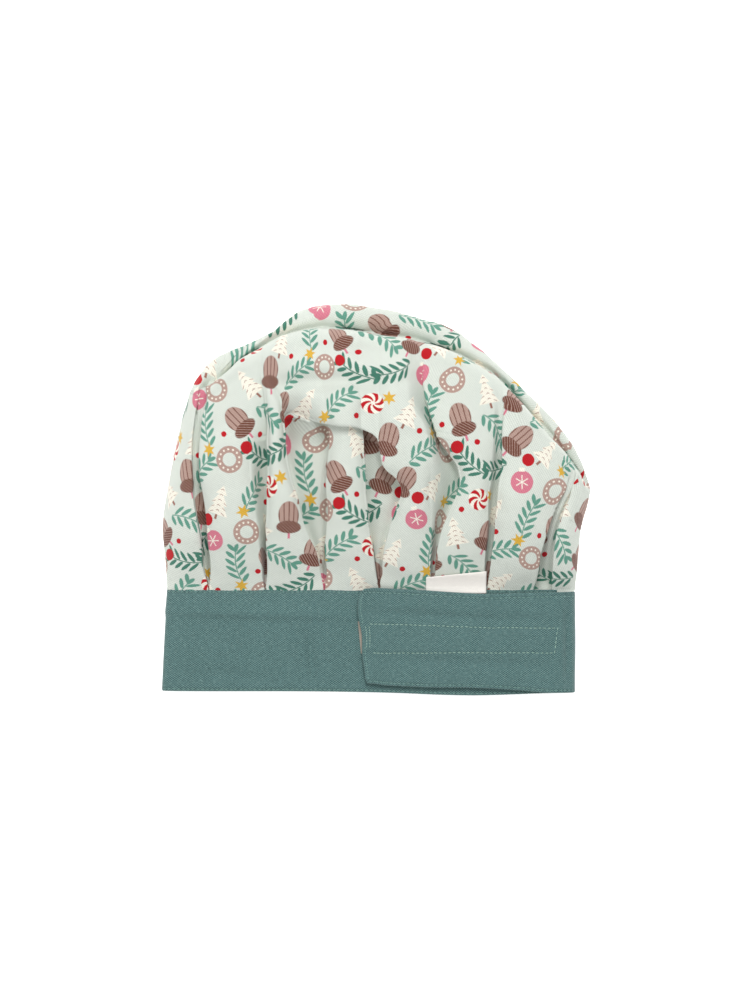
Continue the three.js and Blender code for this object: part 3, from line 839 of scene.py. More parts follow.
@dataclass(frozen=True)
class Fold:
    """A soft fold along a line of (x, height above the seam).

    A fold with a slope is a step: it stands up at the line and eases off on the line's left,
    seen from its first point. A fold with no slope is a ridge, or a groove where it is negative.
    """

    line: tuple[tuple[float, float], ...]
    rise: float
    width: float
    slope: float = 0.0

    def at(self, x: Array, y: Array) -> Array:
        """The fold's height at each place.

        Args:
            x: X of the places.
            y: their height above the seam.

        Returns:
            Millimetres out.
        """
        points = np.array(self.line)
        best = np.full(x.shape, 1e9)
        side = np.zeros(x.shape)
        along = np.zeros(x.shape)
        for i, (a, b) in enumerate(zip(points[:-1], points[1:])):
            d = b - a
            t = np.clip(((x - a[0]) * d[0] + (y - a[1]) * d[1]) / (d @ d), 0, 1)
            away = np.hypot(x - a[0] - t * d[0], y - a[1] - t * d[1])
            cross = d[0] * (y - a[1]) - d[1] * (x - a[0])
            nearer = away < best
            best = np.where(nearer, away, best)
            side = np.where(nearer, np.sign(cross), side)
            along = np.where(nearer, (i + t) / (len(points) - 1), along)
        ends = np.sin(np.pi * np.clip(along, 0.02, 0.98)) ** 0.6
        if self.slope:
            up = np.where(side > 0, np.exp(-((best / self.slope) ** 1.5)), 0)
            ramp = ease(-self.width, self.width, best * side)
            return self.rise * ends * np.where(side > 0, up, 1) * ramp
        return self.rise * ends * np.exp(-((best / self.width) ** 2))


@dataclass(frozen=True)
class Pleat:
    """One pleat of the crown: its valley's depth and how its two sides fall into it.

    depths are at DEPTH_FRACTIONS of the way from the seam to the ridge. left_run is the share of
    the valley over which its left side slopes down, and 0 for a crisp hanging lip. opens is the
    fraction from which the cloth lies smooth across the pleat, and hook is how much deeper its
    left edge stands over it near the swag fold.
    """

    depths: tuple[float, ...]
    left_run: float
    opens: float
    hook: float = 0.0


FOLD_HEIGHTS = (0, 10, 25, 40, 55, 70, 85, 100, 115, 130, 145)
DEPTH_FRACTIONS = (0, 0.05, 0.12, 0.35, 0.6, 0.85, 1)
RISE_FRACTIONS = (0, 0.04, 0.1, 0.18, 0.3, 0.45, 0.62, 0.8, 0.92, 1)


@dataclass
class Crown:
    """The pleated crown: an upper wall of puffs and pleats, a ridge roll, a back lobe and a flat back."""

    side_seam_z: float = 4.5
    side_high_z: float = 9.0
    ridge_radius: float = 10.0
    lobe_height: float = 17.0
    lobe_corner: float = 0.09
    lobe_edge: float = 0.4
    # X between which the cloth starts to roll over the ridge.
    roll_start: tuple[float, float] = (-117.5, -112)
    even_share: float = 0.7
    swag_rise: float = 8.0
    swag_share: float = 0.67
    swag_lip: float = 1.7
    swag_gap: float = 0.011
    swag_crisp: tuple[float, float] = (-44, -27)
    swag_pleats: tuple[int, int] = (2, 3)
    seam_pinch: float = 0.7
    lip_radius: float = 1.3
    lip_inset: float = 1.2
    lip_margin: float = 0.9
    groove_depth: float = 5.5
    groove_height: float = 143.0
    groove_width: float = 6.5
    back_fold: float = 3.2
    # Where the swag fold and the groove lie across the crown, and the shares of the way up over
    # which the swag fold, the hooks under it and the back's folds reach.
    swag_span: Span = (-66, -56, 6, 20)
    groove_span: Span = (-72, -45, -4, 30)
    swag_reach: Span = (0.3, 0.62, 0.72, 0.93)
    hook_reach: Span = (0.4, 0.62, 0.7, 0.92)
    back_reach: Span = (0, 0.1, 0.35, 0.75)
    front_rows: int = 128
    roll_rows: int = 12
    lobe_rows: int = 20
    puff_columns: int = 11
    pleat_columns: int = 8
    middle_puff: int = 3
    fold_lines: tuple[tuple[float, ...], ...] = (
        (-137, -137.5, -138.5, -139.5, -138, -135.5, -133, -129.5, -125.5, -120.5, -120.5),
        (-111, -112, -113.5, -115, -117, -119, -119.5, -119.5, -118, -116.5, -116.5),
        (-107.5, -108, -108.5, -109.5, -111.5, -113, -114, -114.5, -113.5, -110.5, -110.5),
        (-74, -74.5, -75.5, -77.5, -79, -80.5, -81.5, -82, -82, -82, -82),
        (-71, -71, -71, -71, -71, -71, -71, -70.5, -69.5, -72, -75),
        (-35.5, -35.5, -38.5, -44, -49, -53.5, -57.5, -59, -60, -61.5, -66),
        (-32, -32.5, -33, -32.5, -32, -32, -31.5, -30.5, -31.5, -34, -37),
        (0, -0.5, -2, -4, -5.5, -6.5, -7, -7.5, -8.5, -9, -10.5),
        (3.5, 3.5, 4.5, 7.5, 12, 16, 10.5, 3, 0.5, 0.5, 0.5),
        (35, 35, 35, 35, 35, 34.5, 35, 34, 30, 22, 19),
        (38, 38, 39, 42, 47, 53.5, 52, 42.5, 36.5, 32, 30),
        (70, 70, 70.5, 71.5, 72, 73, 73.5, 74.5, 75.5, 75.5, 74),
        (73.5, 73.5, 74.5, 76, 77, 78.5, 80.5, 81, 81.5, 82.5, 82.5),
        (103, 105, 107.5, 110.5, 115.5, 122, 126, 126, 126, 126, 126),
        (114.5, 114.5, 115, 117, 121, 127, 130.5, 130.5, 130.5, 130.5, 130.5),
        (130, 130.5, 132, 134, 138, 140.5, 140.5, 140.5, 140.5, 140.5, 140.5),
    )
    pleats: tuple[Pleat, ...] = (
        Pleat((4, 10, 13, 14, 14, 11, 5), 0.15, 0.99),
        Pleat((3, 8, 12, 14, 12, 3, 0), 0.95, 0.8),
        Pleat((2.5, 7, 12, 18, 17, 4, 0), 0.0, 0.685, 5.0),
        Pleat((2.5, 7, 10, 14, 12, 0, 0), 0.0, 0.685),
        Pleat((3, 8, 12, 16, 11, 4, 0.5), 0.85, 0.85),
        Pleat((3, 7, 11, 13, 10, 4, 0.5), 0.8, 0.85),
        Pleat((9, 13, 15, 14, 9, 3, 0), 0.0, 0.8),
    )
    rises: tuple[float, ...] = (14.2, 16.8, 21.5, 27.5, 34, 39.5, 42, 42.5, 41, 40)
    puffs: tuple[float, ...] = (0.6, 1.2, 2.2, 3.2, 4.2, 4.8, 4.6, 3.2, 1.6, 0.6)
    ridge: tuple[tuple[float, float], ...] = (
        (-120.4, 129.3), (-110, 132), (-86.3, 150.8), (-75.5, 156.7), (-60.6, 164.8),
        (-48.9, 167.7), (-39.8, 169), (-27.4, 168.7), (-15.1, 167.1), (3.1, 165.1),
        (21.3, 162.5), (39.5, 157.6), (53.2, 152.8), (62.9, 147.6), (77.2, 139.1),
        (87.6, 128.7), (98.7, 116), (110.4, 103.6), (120.1, 92.3), (126.6, 83.5),
        (133.1, 73.8), (137.7, 67), (140.3, 65),
    )
    lobe: tuple[tuple[float, float], ...] = (
        (-120.4, 129.3), (-116.5, 138.5), (-108.7, 148.2), (-93.1, 157), (-83.3, 160.5),
        (-75.5, 164.6), (-67.7, 168.9), (-58, 176.9), (-50.2, 182.8), (-40.4, 185.8),
        (-28.7, 186.8), (-17, 186.5), (-1.4, 184.5), (14.2, 181.4), (29.8, 177),
        (45.4, 172.4), (55.1, 167.6), (66.8, 158), (80.5, 146.2), (92.2, 134.6),
        (107.8, 119), (119.5, 107.2), (127.3, 95.5), (135.1, 80), (139.6, 67.6), (140.3, 65),
    )
    swag: tuple[tuple[float, float], ...] = (
        (-62, 122), (-49.5, 120), (-38.5, 115), (-28, 113),
        (-15, 112), (-6, 108.5), (-2, 106), (4, 99),
    )
    waves: tuple[Waves, ...] = (Waves(11, 34, 0.55), Waves(12, 15, 0.22), Waves(13, 7, 0.07))
    folds: tuple[Fold, ...] = (
        Fold(((33, 82), (25, 97.5), (16, 107)), -2.2, 5.5),
        Fold(((14, 121.5), (16, 135), (20, 146), (24, 157)), 1.8, 1.2, 11),
        Fold(((35, 53.3), (18.7, 35.8), (3.8, 22)), -0.35, 0.8),
        Fold(((-118, 112), (-112, 122), (-98, 133), (-84, 140)), -1.6, 3.5),
    )
    # A hanging lip: how far across each step lies from its fold, in radii of its roll. Then, for
    # the steps under the lip, the share of the way up to its roll, and for its roll, radii up.
    lip_under: tuple[tuple[float, float], ...] = ((-0.7, 0), (0.9, 0), (1.9, 0.35), (2.0, 0.8))
    lip_roll: tuple[tuple[float, float], ...] = (
        (0.5, -1.87), (0.13, -1.5), (0, -1), (0.13, -0.5), (0.5, -0.13), (1, 0),
    )
    # Where the back's part of the print starts on the cloth.
    back_print: tuple[float, float] = (17.0, 300.0)
    print_turn: float = 6.5
    columns: list[tuple[int, float, int]] = field(default_factory=list)

    def lay_out(self) -> None:
        """Lists the columns as (strip, share across it, step of its lip or -1)."""
        steps = range(len(self.lip_under + self.lip_roll))
        last_strip = len(self.fold_lines) - 2
        for strip in range(last_strip + 1):
            is_pleat = strip % 2 == 1
            is_crisp = is_pleat and self.pleats[strip // 2].left_run == 0
            count = self.pleat_columns if is_pleat else self.puff_columns
            shares = 0.5 - 0.5 * np.cos(np.pi * np.arange(count + 1) / count)
            first = int(is_crisp or (strip > 0 and not is_pleat))
            end = None if strip == last_strip else -1
            self.columns += [(strip, 0.0, k) for k in reversed(steps) if is_crisp]
            self.columns += [(strip, float(s), -1) for s in shares[first:end]]
            self.columns += [(strip, 1.0, k) for k in steps if is_pleat]
        LOG.info("crown: %d columns", len(self.columns))

    def lip_reach(self, step: Array) -> Array:
        """How far across from its fold each step of a lip lies, in radii of its roll."""
        return np.array(self.lip_under + self.lip_roll)[step][..., 0]

    def lip_z(self, step: Array, floor: Array, top: Array, radius: Array) -> Array:
        """Z of each step of a lip that hangs from its top over a floor."""
        level = np.array(self.lip_under + self.lip_roll)[step][..., 1]
        under = mix(floor, top - 2 * radius, level)
        return np.where(step < len(self.lip_under), under, top + level * radius)

    def base_z(self, x: Array, low: Array, high: Array, fraction: Array) -> tuple[Array, Array]:
        """The wall's height without its pleats, and how full it is there.

        Args:
            x: where the wall is read.
            low: X of the crown's left side.
            high: X of its right side.
            fraction: the share of the way from the seam to the ridge.

        Returns:
            Z, and how full the section is, from 0 to 1.
        """
        full = lens(2 * (x - low) / (high - low) - 1, 4)
        side = mix(self.side_seam_z, self.side_high_z, ease(0, 0.4, fraction))
        rise = smooth_along(RISE_FRACTIONS, self.rises, fraction)
        return side + (rise - side) * full, full

    def ridge_heights(self) -> Array:
        """Where each fold line meets the ridge.

        Returns:
            Millimetres above the seam, for each fold line.
        """
        heights = []
        for line in self.fold_lines:
            h = np.arange(60, 170, 0.25)
            under = along_table(self.ridge, smooth_along(FOLD_HEIGHTS, line, h)) <= h
            heights.append(h[np.argmax(under)])
        heights[0] = self.ridge[0][1]
        heights[-1] = self.ridge[-1][1]
        return np.array(heights)

    def line_x(self, line: Array, fraction: Array) -> Array:
        """X of a fold line at a fraction of the way to the ridge, for each column.

        Args:
            line: the fold line's number.
            fraction: the share of the way to the ridge.

        Returns:
            X in millimetres.
        """
        tops = self.ridge_heights()
        out = np.zeros(np.broadcast(line, fraction).shape)
        for k, values in enumerate(self.fold_lines):
            x = smooth_along(FOLD_HEIGHTS, values, fraction * tops[k])
            out = np.where(line == k, x, out)
        return out

    def widths(self, strip: Array, fraction: Array) -> tuple[Array, Array]:
        """The left and right lines of each column's strip, with the valleys closed up at the seam.

        Args:
            strip: each column's strip.
            fraction: the share of the way to the ridge.

        Returns:
            X of the strip's left line and of its right line.
        """
        ones = np.ones(np.broadcast(strip, fraction).shape)
        left = self.line_x(strip, fraction * ones)
        right = self.line_x(strip + 1, fraction * ones)
        pinch = self.seam_pinch * (1 - ease(0, 0.1, fraction)) / 2
        last_pleat = 2 * len(self.pleats) - 1
        close = np.where((strip % 2 == 1) & (strip != last_pleat), pinch * (right - left), 0)
        left, right = left + close, right - close
        for k in range(len(self.pleats) - 1):
            spare = pinch * (self.fold_lines[2 * k + 2][0] - self.fold_lines[2 * k + 1][0])
            right = np.where(strip == 2 * k, right + spare, right)
            left = np.where(strip == 2 * k + 2, left - spare, left)
        return left, right

    def layer(self, x: Array, fraction: Array, over: float) -> Array:
        """How far a point belongs to the cloth over the swag fold, from 0 to 1."""
        crisp = ease(*self.swag_crisp, x)
        return mix(ease(0.54, 0.8, fraction), over, crisp)

    def front(self, fraction: Array, over_swag: float) -> Array:
        """The upper wall between the seam and the ridge roll.

        Args:
            fraction: fractions of the way up, shaped (rows, 1).
            over_swag: 0 for the layer under the swag fold, and 1 for the layer over it.

        Returns:
            X, height above the seam and Z for each row and column.
        """
        strip, share, step = (np.array(values)[None] for values in zip(*self.columns))
        ones = np.ones(np.broadcast(strip, fraction).shape)
        low = self.line_x(0 * strip, fraction * ones)
        high = self.line_x(0 * strip + len(self.fold_lines) - 1, fraction * ones)
        top_x = mix(self.line_x(strip, ones), self.line_x(strip + 1, ones), share)
        ridge_h = along_table(self.ridge, top_x)
        left, right = self.widths(strip, fraction)
        over = self.layer(mix(left, right, share), fraction, over_swag)
        deep_left, deep_right, run = 0 * ones, 0 * ones, 0 * ones
        for k, pleat in enumerate(self.pleats):
            here = strip == 2 * k + 1
            depth = smooth_along(DEPTH_FRACTIONS, pleat.depths, fraction)
            if k in self.swag_pleats:
                depth = depth * (1 - over)
            hook = pleat.hook * within(self.hook_reach, fraction)
            deep_left = np.where(here, depth + hook, deep_left)
            deep_right = np.where(here, depth, deep_right)
            run = np.where(here, pleat.left_run, run)
        lift_left, lift_right, floor_lift, puff_lift = self.swag_lifts(strip, share, fraction, over)
        is_lip = step >= 0
        at_right = share > 0.5
        side = np.where(at_right, 1.0, -1.0)
        edge = np.where(at_right, right, left)
        edge_lift = np.where(at_right, lift_right, lift_left)
        drop = np.where(at_right, deep_right, deep_left) + edge_lift - floor_lift
        radius = np.clip(np.minimum(drop * 0.42, (right - left) * 0.4), 0.05, self.lip_radius)
        lip_step = np.maximum(step, 0)
        place = lip_step / lip_step.max()
        reach = self.lip_reach(lip_step) * radius
        hang = ease(0.4, 1.8, drop)
        margin = np.minimum(self.lip_margin, (right - left) * 0.3)
        lip_x = edge + side * mix(mix(-0.85 * margin, self.lip_inset, place), reach, hang)
        crisp = [k for k, pleat in enumerate(self.pleats) if pleat.left_run == 0]
        crisp_left = np.isin(strip, [2 * k + 1 for k in crisp])
        crisp_ends = np.isin(strip, [2 * k for k in crisp])
        puff_start = left + np.where(strip > 0, self.lip_inset, 0)
        puff_end = right - np.where(crisp_ends, self.lip_inset, 0)
        start = np.where(strip % 2 == 0, puff_start, left + np.where(crisp_left, margin, 0))
        end = np.where(strip % 2 == 0, puff_end, right - margin)
        x = np.where(is_lip, lip_x, mix(start, end, share))
        base_x = np.where(is_lip, edge + side * np.maximum(0, reach), x)
        z, full = self.base_z(base_x, low, high, fraction)
        strength = np.minimum(1, full * 1.4)
        puff = smooth_along(RISE_FRACTIONS, self.puffs, fraction) * (1 - np.abs(2 * share - 1) ** 2.5)
        slope = np.where(run > 0, ease(0, 1, share / np.maximum(run, 1e-3)), 1)
        deep = deep_right + (deep_left - deep_right) * (1 - share) ** 2
        dip = -deep * slope * (1 - 0.12 * np.sin(np.pi * share))
        relief = np.where(strip % 2 == 0, puff + puff_lift, dip + floor_lift)
        top = z + edge_lift * strength
        floor = top - drop * strength
        hung = self.lip_z(lip_step, floor, top, radius)
        lip_z = mix(mix(floor, top, ease(0, 1, place)), hung, hang)
        z = np.where(is_lip, lip_z, z + relief * strength)
        pull = within(self.swag_span, x) * within(self.swag_reach, fraction)
        aim = along_table(self.swag, x) / ridge_h - self.swag_share
        height = (fraction + pull * aim) * ridge_h
        groove = self.groove_depth * np.exp(-(((height - self.groove_height) / self.groove_width) ** 2))
        z = z - groove * within(self.groove_span, x)
        height = height * (ridge_h - self.ridge_radius * full) / ridge_h
        return np.stack([x, height, z], axis=-1)

    def swag_lifts(self, strip: Array, share: Array, fraction: Array, over: Array) -> tuple[Array, ...]:
        """How far the swag fold lifts the cloth at a strip's left edge, right edge, floor and puff.

        Args:
            strip: each column's strip.
            share: each column's share of the way across its strip.
            fraction: the share of the way to the ridge.
            over: how far the cloth belongs to the layer over the swag fold.

        Returns:
            The four lifts in millimetres.
        """
        height = fraction * self.ridge_heights().mean()
        upper = 1 - 0.8 * ease(122, 140, height)
        ramp = ease(25, 95, height) * upper
        fade = over * upper
        first = 2 * self.swag_pleats[0] + 1

        def hung(line: Array) -> Array:
            """The lift along a fold line."""
            out = np.where(np.isin(line, (first + 1, first + 2)), fade, 0.0)
            return self.swag_rise * np.where(np.isin(line, (first + 3, first + 4)), ramp, out)

        floor = np.where(strip == first, fade * ease(0, 0.8, share), 0.0)
        floor = np.where(strip == first + 2, fade, floor)
        floor = np.where(strip == first + 4, ramp * (1 - share), floor) * self.swag_rise
        puff = np.where(strip == first + 3, ramp, 0.0)
        puff = np.where(strip == first + 1, fade, puff) * self.swag_rise
        return hung(strip), hung(strip + 1), floor, puff

    def front_rows_of(self) -> tuple[Array, Array]:
        """The front's points, with the swag fold's hanging lip among its rows.

        Returns:
            The points, shaped (rows, columns, 3), and each row's fraction of the way up.
        """
        plain = np.linspace(0, 1, self.front_rows)
        low = plain[plain < self.swag_share - self.swag_gap]
        high = plain[plain > self.swag_share + self.swag_gap]
        under = self.front(low[:, None], 0.0)
        upper = self.front(high[:, None], 1.0)
        step = np.arange(len(self.lip_under + self.lip_roll))[:, None]
        flat = self.swag_share + self.swag_gap * np.linspace(-0.9, 0.9, len(step))
        at = np.full(step.shape, self.swag_share)
        below, above = self.front(at, 0.0), self.front(at, 1.0)
        drop = above[..., 2] - below[..., 2]
        hang = ease(1.0, 3.5, drop)
        radius = np.clip(drop * 0.3, 0.05, self.swag_lip)
        pace = (upper[0, :, 1] - under[-1, :, 1]) / (high[0] - low[-1])
        reach = mix((flat[:, None] - self.swag_share) * pace, self.lip_reach(step) * radius, hang)
        along = np.linspace(0, 1, len(step))[:, None]
        x = mix(below[..., 0], above[..., 0], ease(0, 1, along))
        height, z = (mix(below[..., k], above[..., k], along) for k in (1, 2))
        z = mix(z, self.lip_z(step, below[..., 2], above[..., 2], radius), hang)
        rows = np.stack([x, height + reach, z], axis=-1)
        fractions = np.concatenate([low, flat, high])
        return np.concatenate([under, rows, upper]), fractions

    def roll_and_lobe(self, last: Array) -> Array:
        """The rows over the ridge roll, through the groove and out to the lobe's edge.

        The cloth left of the first pleat has no roll: it runs straight on into the lobe.

        Args:
            last: the front's last row.

        Returns:
            The rows beyond it, shaped (rows, columns, 3).
        """
        lobe = np.array(self.lobe)
        corner = self.lobe_corner
        x = last[:, 0]
        start, end = self.ridge[0][0], self.ridge[-1][0]
        place = np.clip((x - start) / (end - start), 0, 1)
        ridge_h = along_table(self.ridge, x)
        even = mix(place, np.linspace(0, 1, len(x)), self.even_share)
        full_lobe = lens(2 * even - 1, 6)
        edge_x, edge_h = point_along(lobe, mix(corner, 1 - corner, even))
        rolled = ease(*self.roll_start, x)
        radius = self.ridge_radius * lens(2 * place - 1, 6)
        keys = [last]
        angles = (20, 40, 60, 80, 100, 118)
        for count, degrees in enumerate(angles, 1):
            a = math.radians(degrees)
            rise = mix(count / len(angles), math.sin(a), rolled)
            h = ridge_h - radius * (1 - rise)
            keys.append(np.stack([x, h, last[:, 2] - rolled * radius * (1 - math.cos(a))], axis=-1))
        wave = 1 + 0.1 * np.sin(18 * even + 1)
        reaches = (0.1, 0.28, 0.5, 0.7, 0.86, 0.96, 1)
        rises = (0.66, 0.84, 0.96, 0.94, 0.8, 0.6, self.lobe_edge)
        for reach, rise in zip(reaches, rises):
            z = mix(self.side_high_z, self.lobe_height * rise * wave, full_lobe)
            z = np.where(reach < 0.5, mix(mix(last[:, 2], z, reach * 2), z, rolled), z)
            row = np.stack([mix(x, edge_x, reach), mix(ridge_h, edge_h, reach), z], axis=-1)
            for first, inner, away in ((0.0, corner, even), (1.0, 1 - corner, 1 - even)):
                shares = np.array([first, mix(first, inner, reach), inner])
                edge = np.stack(point_along(lobe, shares), axis=-1)
                bulge = edge[1] - mix(edge[0], edge[2], reach)
                row[:, :2] += bulge * np.exp(-((away / corner) ** 2))[:, None]
            keys.append(row)
        return smooth_rows(np.array(keys), len(angles), self.roll_rows, self.lobe_rows)

    def hem(self, first: Array) -> Array:
        """The rows below the seam, which go up between the band's two plies.

        Args:
            first: the front's first row.

        Returns:
            Three rows, from the lowest up.
        """
        x = first[:, 0]
        rows = []
        for drop in (4.0, 2.6, 1.2):
            inside = mix(BAND.under_z(x), first[:, 2], 1 - ease(0, 2.4, drop))
            tucked = x - 1.4 * np.sign(x) * np.abs(x / 137) ** 12
            rows.append(np.stack([tucked, np.full_like(x, -drop), inside], axis=-1))
        return np.array(rows)

    def upper_wall(self) -> tuple[Array, Array, int, int]:
        """The upper wall from the hem to the lobe's edge.

        Returns:
            Its points, each row's fraction of the way up the front, the seam's row and the row of
            the groove behind the ridge.
        """
        front, fractions = self.front_rows_of()
        hem = self.hem(front[0])
        beyond = self.roll_and_lobe(front[-1])
        rows = np.concatenate([hem, front, beyond])
        every = np.concatenate([np.zeros(len(hem)), fractions, np.ones(len(beyond))])
        groove = len(hem) + len(front) + int(self.roll_rows * 0.8)
        return rows, every, len(hem), groove

    def crumple(self, rows: Array) -> Array:
        """Adds the folds, puckers and soft waves that cloth has, along its normals.

        Args:
            rows: the upper wall's points.

        Returns:
            The points, moved along the normals.
        """
        x, h = rows[..., 0], rows[..., 1]
        across = np.gradient(rows, axis=1)
        upward = np.gradient(rows, axis=0)
        normals = np.cross(across, upward)
        normals /= np.maximum(np.linalg.norm(normals, axis=-1, keepdims=True), 1e-9)
        inner = ease(0, 6, h) * lens(np.clip(x / 139, -1, 1), 10)
        amount = sum(wave.at(x, h * 0.8) for wave in self.waves) * inner
        amount += sum(fold.at(x, h) for fold in self.folds) * (rows[..., 2] > 20)
        pucker = np.sin(x * 1.35 + 1.7 * np.sin(x * 0.31)) * np.exp(-np.maximum(h, 0) / 6.5) * 0.32
        amount += pucker * ease(-1.5, 1.0, h)
        return rows + normals * amount[..., None]

    def lower_wall(self, upper: Array, seam: int) -> tuple[Array, Array]:
        """The flat back of the crown.

        Args:
            upper: the upper wall's points, whose side and end rows the back shares.
            seam: the row of the seam.

        Returns:
            The back's points, shaped (rows, columns, 3), and the picked columns of the upper wall.
        """
        picked = np.array([i for i, c in enumerate(self.columns) if c[2] < 0])[::2]
        picked = np.unique(np.concatenate([[0], picked, [len(self.columns) - 1]]))
        rows = upper.shape[0]
        up = np.clip((np.arange(rows) - seam) / (rows - 1 - seam), 0, 1)[:, None]
        left, right = upper[:, :1], upper[:, -1:]
        edge = upper[-1:, picked]
        seam_x = upper[seam, picked, 0]
        seam_share = (seam_x - seam_x[0]) / (seam_x[-1] - seam_x[0])
        lengths = lengths_along(edge[0])
        across = mix(seam_share[None], (lengths / lengths[-1])[None], ease(0, 0.3, up))
        bulge = up[..., None] ** 1.3
        flat = mix(left, right, across[..., None])
        points = flat + bulge * (edge - mix(edge[:, :1], edge[:, -1:], across[..., None]))
        full = lens(2 * across - 1, 12) * lens(up, 22)
        pleat = np.maximum(0, np.cos(math.tau * seam_x[None] / 36)) ** 6
        fold = self.back_fold * pleat * within(self.back_reach, up) * lens(2 * across - 1, 8)
        z = points[..., 2] * (1 - full) + fold
        drop = np.clip(seam - np.arange(rows), 0, None)[:, None]
        z = np.where(drop > 0, mix(z, BAND.back_z, np.minimum(1, full * 1.2)), z + 0.35 * full)
        z = np.maximum(z, 0.15)
        points[..., 2] = z
        points[:, 0], points[:, -1] = upper[:, 0], upper[:, -1]
        points[-1] = upper[-1, picked]
        return points, picked

    def cloth_uvs(self, rows: Array, fractions: Array, groove: int, lip: slice) -> Array:
        """Millimetres along the cloth for each face's corners.

        Each puff carries its own part of the print, a little turned from its neighbour's, because
        gathered cloth fans out. Two parts meet where the pleat between them opens. Below that the
        print jumps, and each jump is hidden in the pleat's tuck.

        Args:
            rows: the upper wall's points.
            fractions: how far each row lies up the front, from 0 to 1.
            groove: the first row of the lobe, whose print is laid flat.
            lip: the rows round the swag fold's lip, whose hidden cloth isn't counted.

        Returns:
            The corners' places, shaped (faces, 4, 2).
        """
        count, width = rows.shape[:2]
        across, upward = np.diff(rows, axis=1), np.diff(rows, axis=0)
        spans = np.hypot(across[..., 0], across[..., 2])
        climbs = np.hypot(upward[..., 1], upward[..., 2])
        climbs[lip] = upward[lip][..., 1]
        total = np.concatenate([np.zeros((count, 1)), np.cumsum(spans, axis=1)], axis=1)
        climb = np.concatenate([np.zeros((1, width)), np.cumsum(climbs, axis=0)])
        on_roll = len(self.lip_under)
        panels = np.array([
            (strip + (strip % 2 and share == 1.0 and step >= on_roll)) // 2
            for strip, share, step in self.columns
        ])
        anchors = []
        for panel in range(panels.max() + 1):
            puff = [i for i, c in enumerate(self.columns) if c[0] == 2 * panel]
            anchors.append(puff[len(puff) // 2])
        opened = [int(np.argmax(fractions >= pleat.opens)) for pleat in self.pleats]
        middles = rows[:, anchors, 0].copy()
        for k, row in enumerate(opened):
            gap = total[row, anchors[k + 1]] - total[row, anchors[k]]
            middles[:, k + 1:] += gap - (rows[row, anchors[k + 1], 0] - rows[row, anchors[k], 0])
        middle = self.middle_puff
        middles += rows[:, anchors[middle], 0][:, None] - middles[:, middle][:, None]
        u = middles[:, panels] + total - total[:, np.array(anchors)[panels]]
        v = np.zeros((count, width))
        raised = climb - rows[..., 1]
        column = np.arange(width)
        between = np.searchsorted(anchors, column, side="right") - 1
        between = np.clip(between, 0, len(self.pleats) - 1)
        inner = (column >= anchors[0]) & (column <= anchors[-1])
        share = (panels > between).astype(float)[None] * np.ones((count, 1))
        for r in range(count):
            reached = total[r, anchors]
            v[r] = rows[r, :, 1] + np.interp(total[r], reached, raised[r, anchors])
            smooth = np.interp(total[r], reached, middles[r])
            for k, pleat in enumerate(self.pleats):
                if r >= opened[k]:
                    u[r] = np.where((between == k) & inner, smooth, u[r])
                way = (total[r] - reached[k]) / (reached[k + 1] - reached[k])
                soft = ease(pleat.opens - 0.2, pleat.opens, fractions[r])
                share[r] = np.where(between == k, mix(share[r], ease(0, 1, way), soft), share[r])
        place = np.stack([u, v], axis=-1)
        pivots = [place[row, int(np.argmax(panels == k + 1))] for k, row in enumerate(opened)]
        turned = self.fanned(pivots)

        def printed(where: Array, columns: slice, part: Array) -> Array:
            """The print's place for cloth places in some of the columns.

            Args:
                where: places on the cloth.
                columns: the columns that they lie in.
                part: how far each place belongs to the next puff.

            Returns:
                The places, turned with their puffs.
            """
            out = np.zeros_like(where)
            for panel, move in enumerate(turned):
                weight = np.where(between[columns] == panel, 1 - part, 0)
                weight = weight + np.where(between[columns] + 1 == panel, part, 0)
                out += weight[..., None] * move(where)
            return out

        final = printed(place, slice(0, width), share)
        held = place[:, :-1] + np.stack([spans, np.diff(v, axis=1)], axis=-1)
        held = printed(held, slice(0, width - 1), share[:, :-1])
        opens_at = np.array(opened + [0])[np.minimum(panels[:-1], len(opened))]
        beyond = np.arange(count)[:, None] >= opens_at[None]
        same = (panels[:-1] == panels[1:])[None] | beyond
        start = anchors[0]
        laid = rows[..., :2] - rows[groove, start, :2]
        laid[..., 1] += raised - raised[groove]
        laid = final[groove, start] + turned[0](laid) - turned[0](np.zeros(2))
        corner = np.zeros((count - 1, width - 1, 4, 2))
        for spot, (down, across) in enumerate(((0, 0), (0, 1), (1, 1), (1, 0))):
            r = slice(down, count - 1 + down)
            c = slice(across, width - 1 + across)
            here = np.where(same[r, :, None], final[r, 1:], held[r]) if across else final[r, :-1]
            corner[:, :, spot] = here
            corner[groove:, :, spot] = laid[r, c][groove:]
        return corner.reshape(-1, 4, 2)

    def fanned(self, pivots: list[Array]) -> list[Callable[[Array], Array]]:
        """The turn of the print on each puff, from the middle puff outwards.

        Args:
            pivots: the place on the cloth where each pleat opens.

        Returns:
            A function for each puff, which turns places on the cloth.
        """
        middle = self.middle_puff

        def about(pivot: Array, kept: Array, degrees: float) -> Callable[[Array], Array]:
            """A turn about a pivot that is itself moved to another place."""
            turn = math.radians(degrees)
            matrix = np.array([[math.cos(turn), math.sin(turn)], [-math.sin(turn), math.cos(turn)]])
            return lambda place: kept + (place - pivot) @ matrix

        moves: list[Callable[[Array], Array]] = [about(np.zeros(2), np.zeros(2), 0.0)] * (len(pivots) + 1)
        for k in range(middle, len(pivots)):
            moves[k + 1] = about(pivots[k], moves[k](pivots[k]), (k + 1 - middle) * self.print_turn)
        for k in range(middle - 1, -1, -1):
            moves[k] = about(pivots[k], moves[k + 1](pivots[k]), (k - middle) * self.print_turn)
        return moves

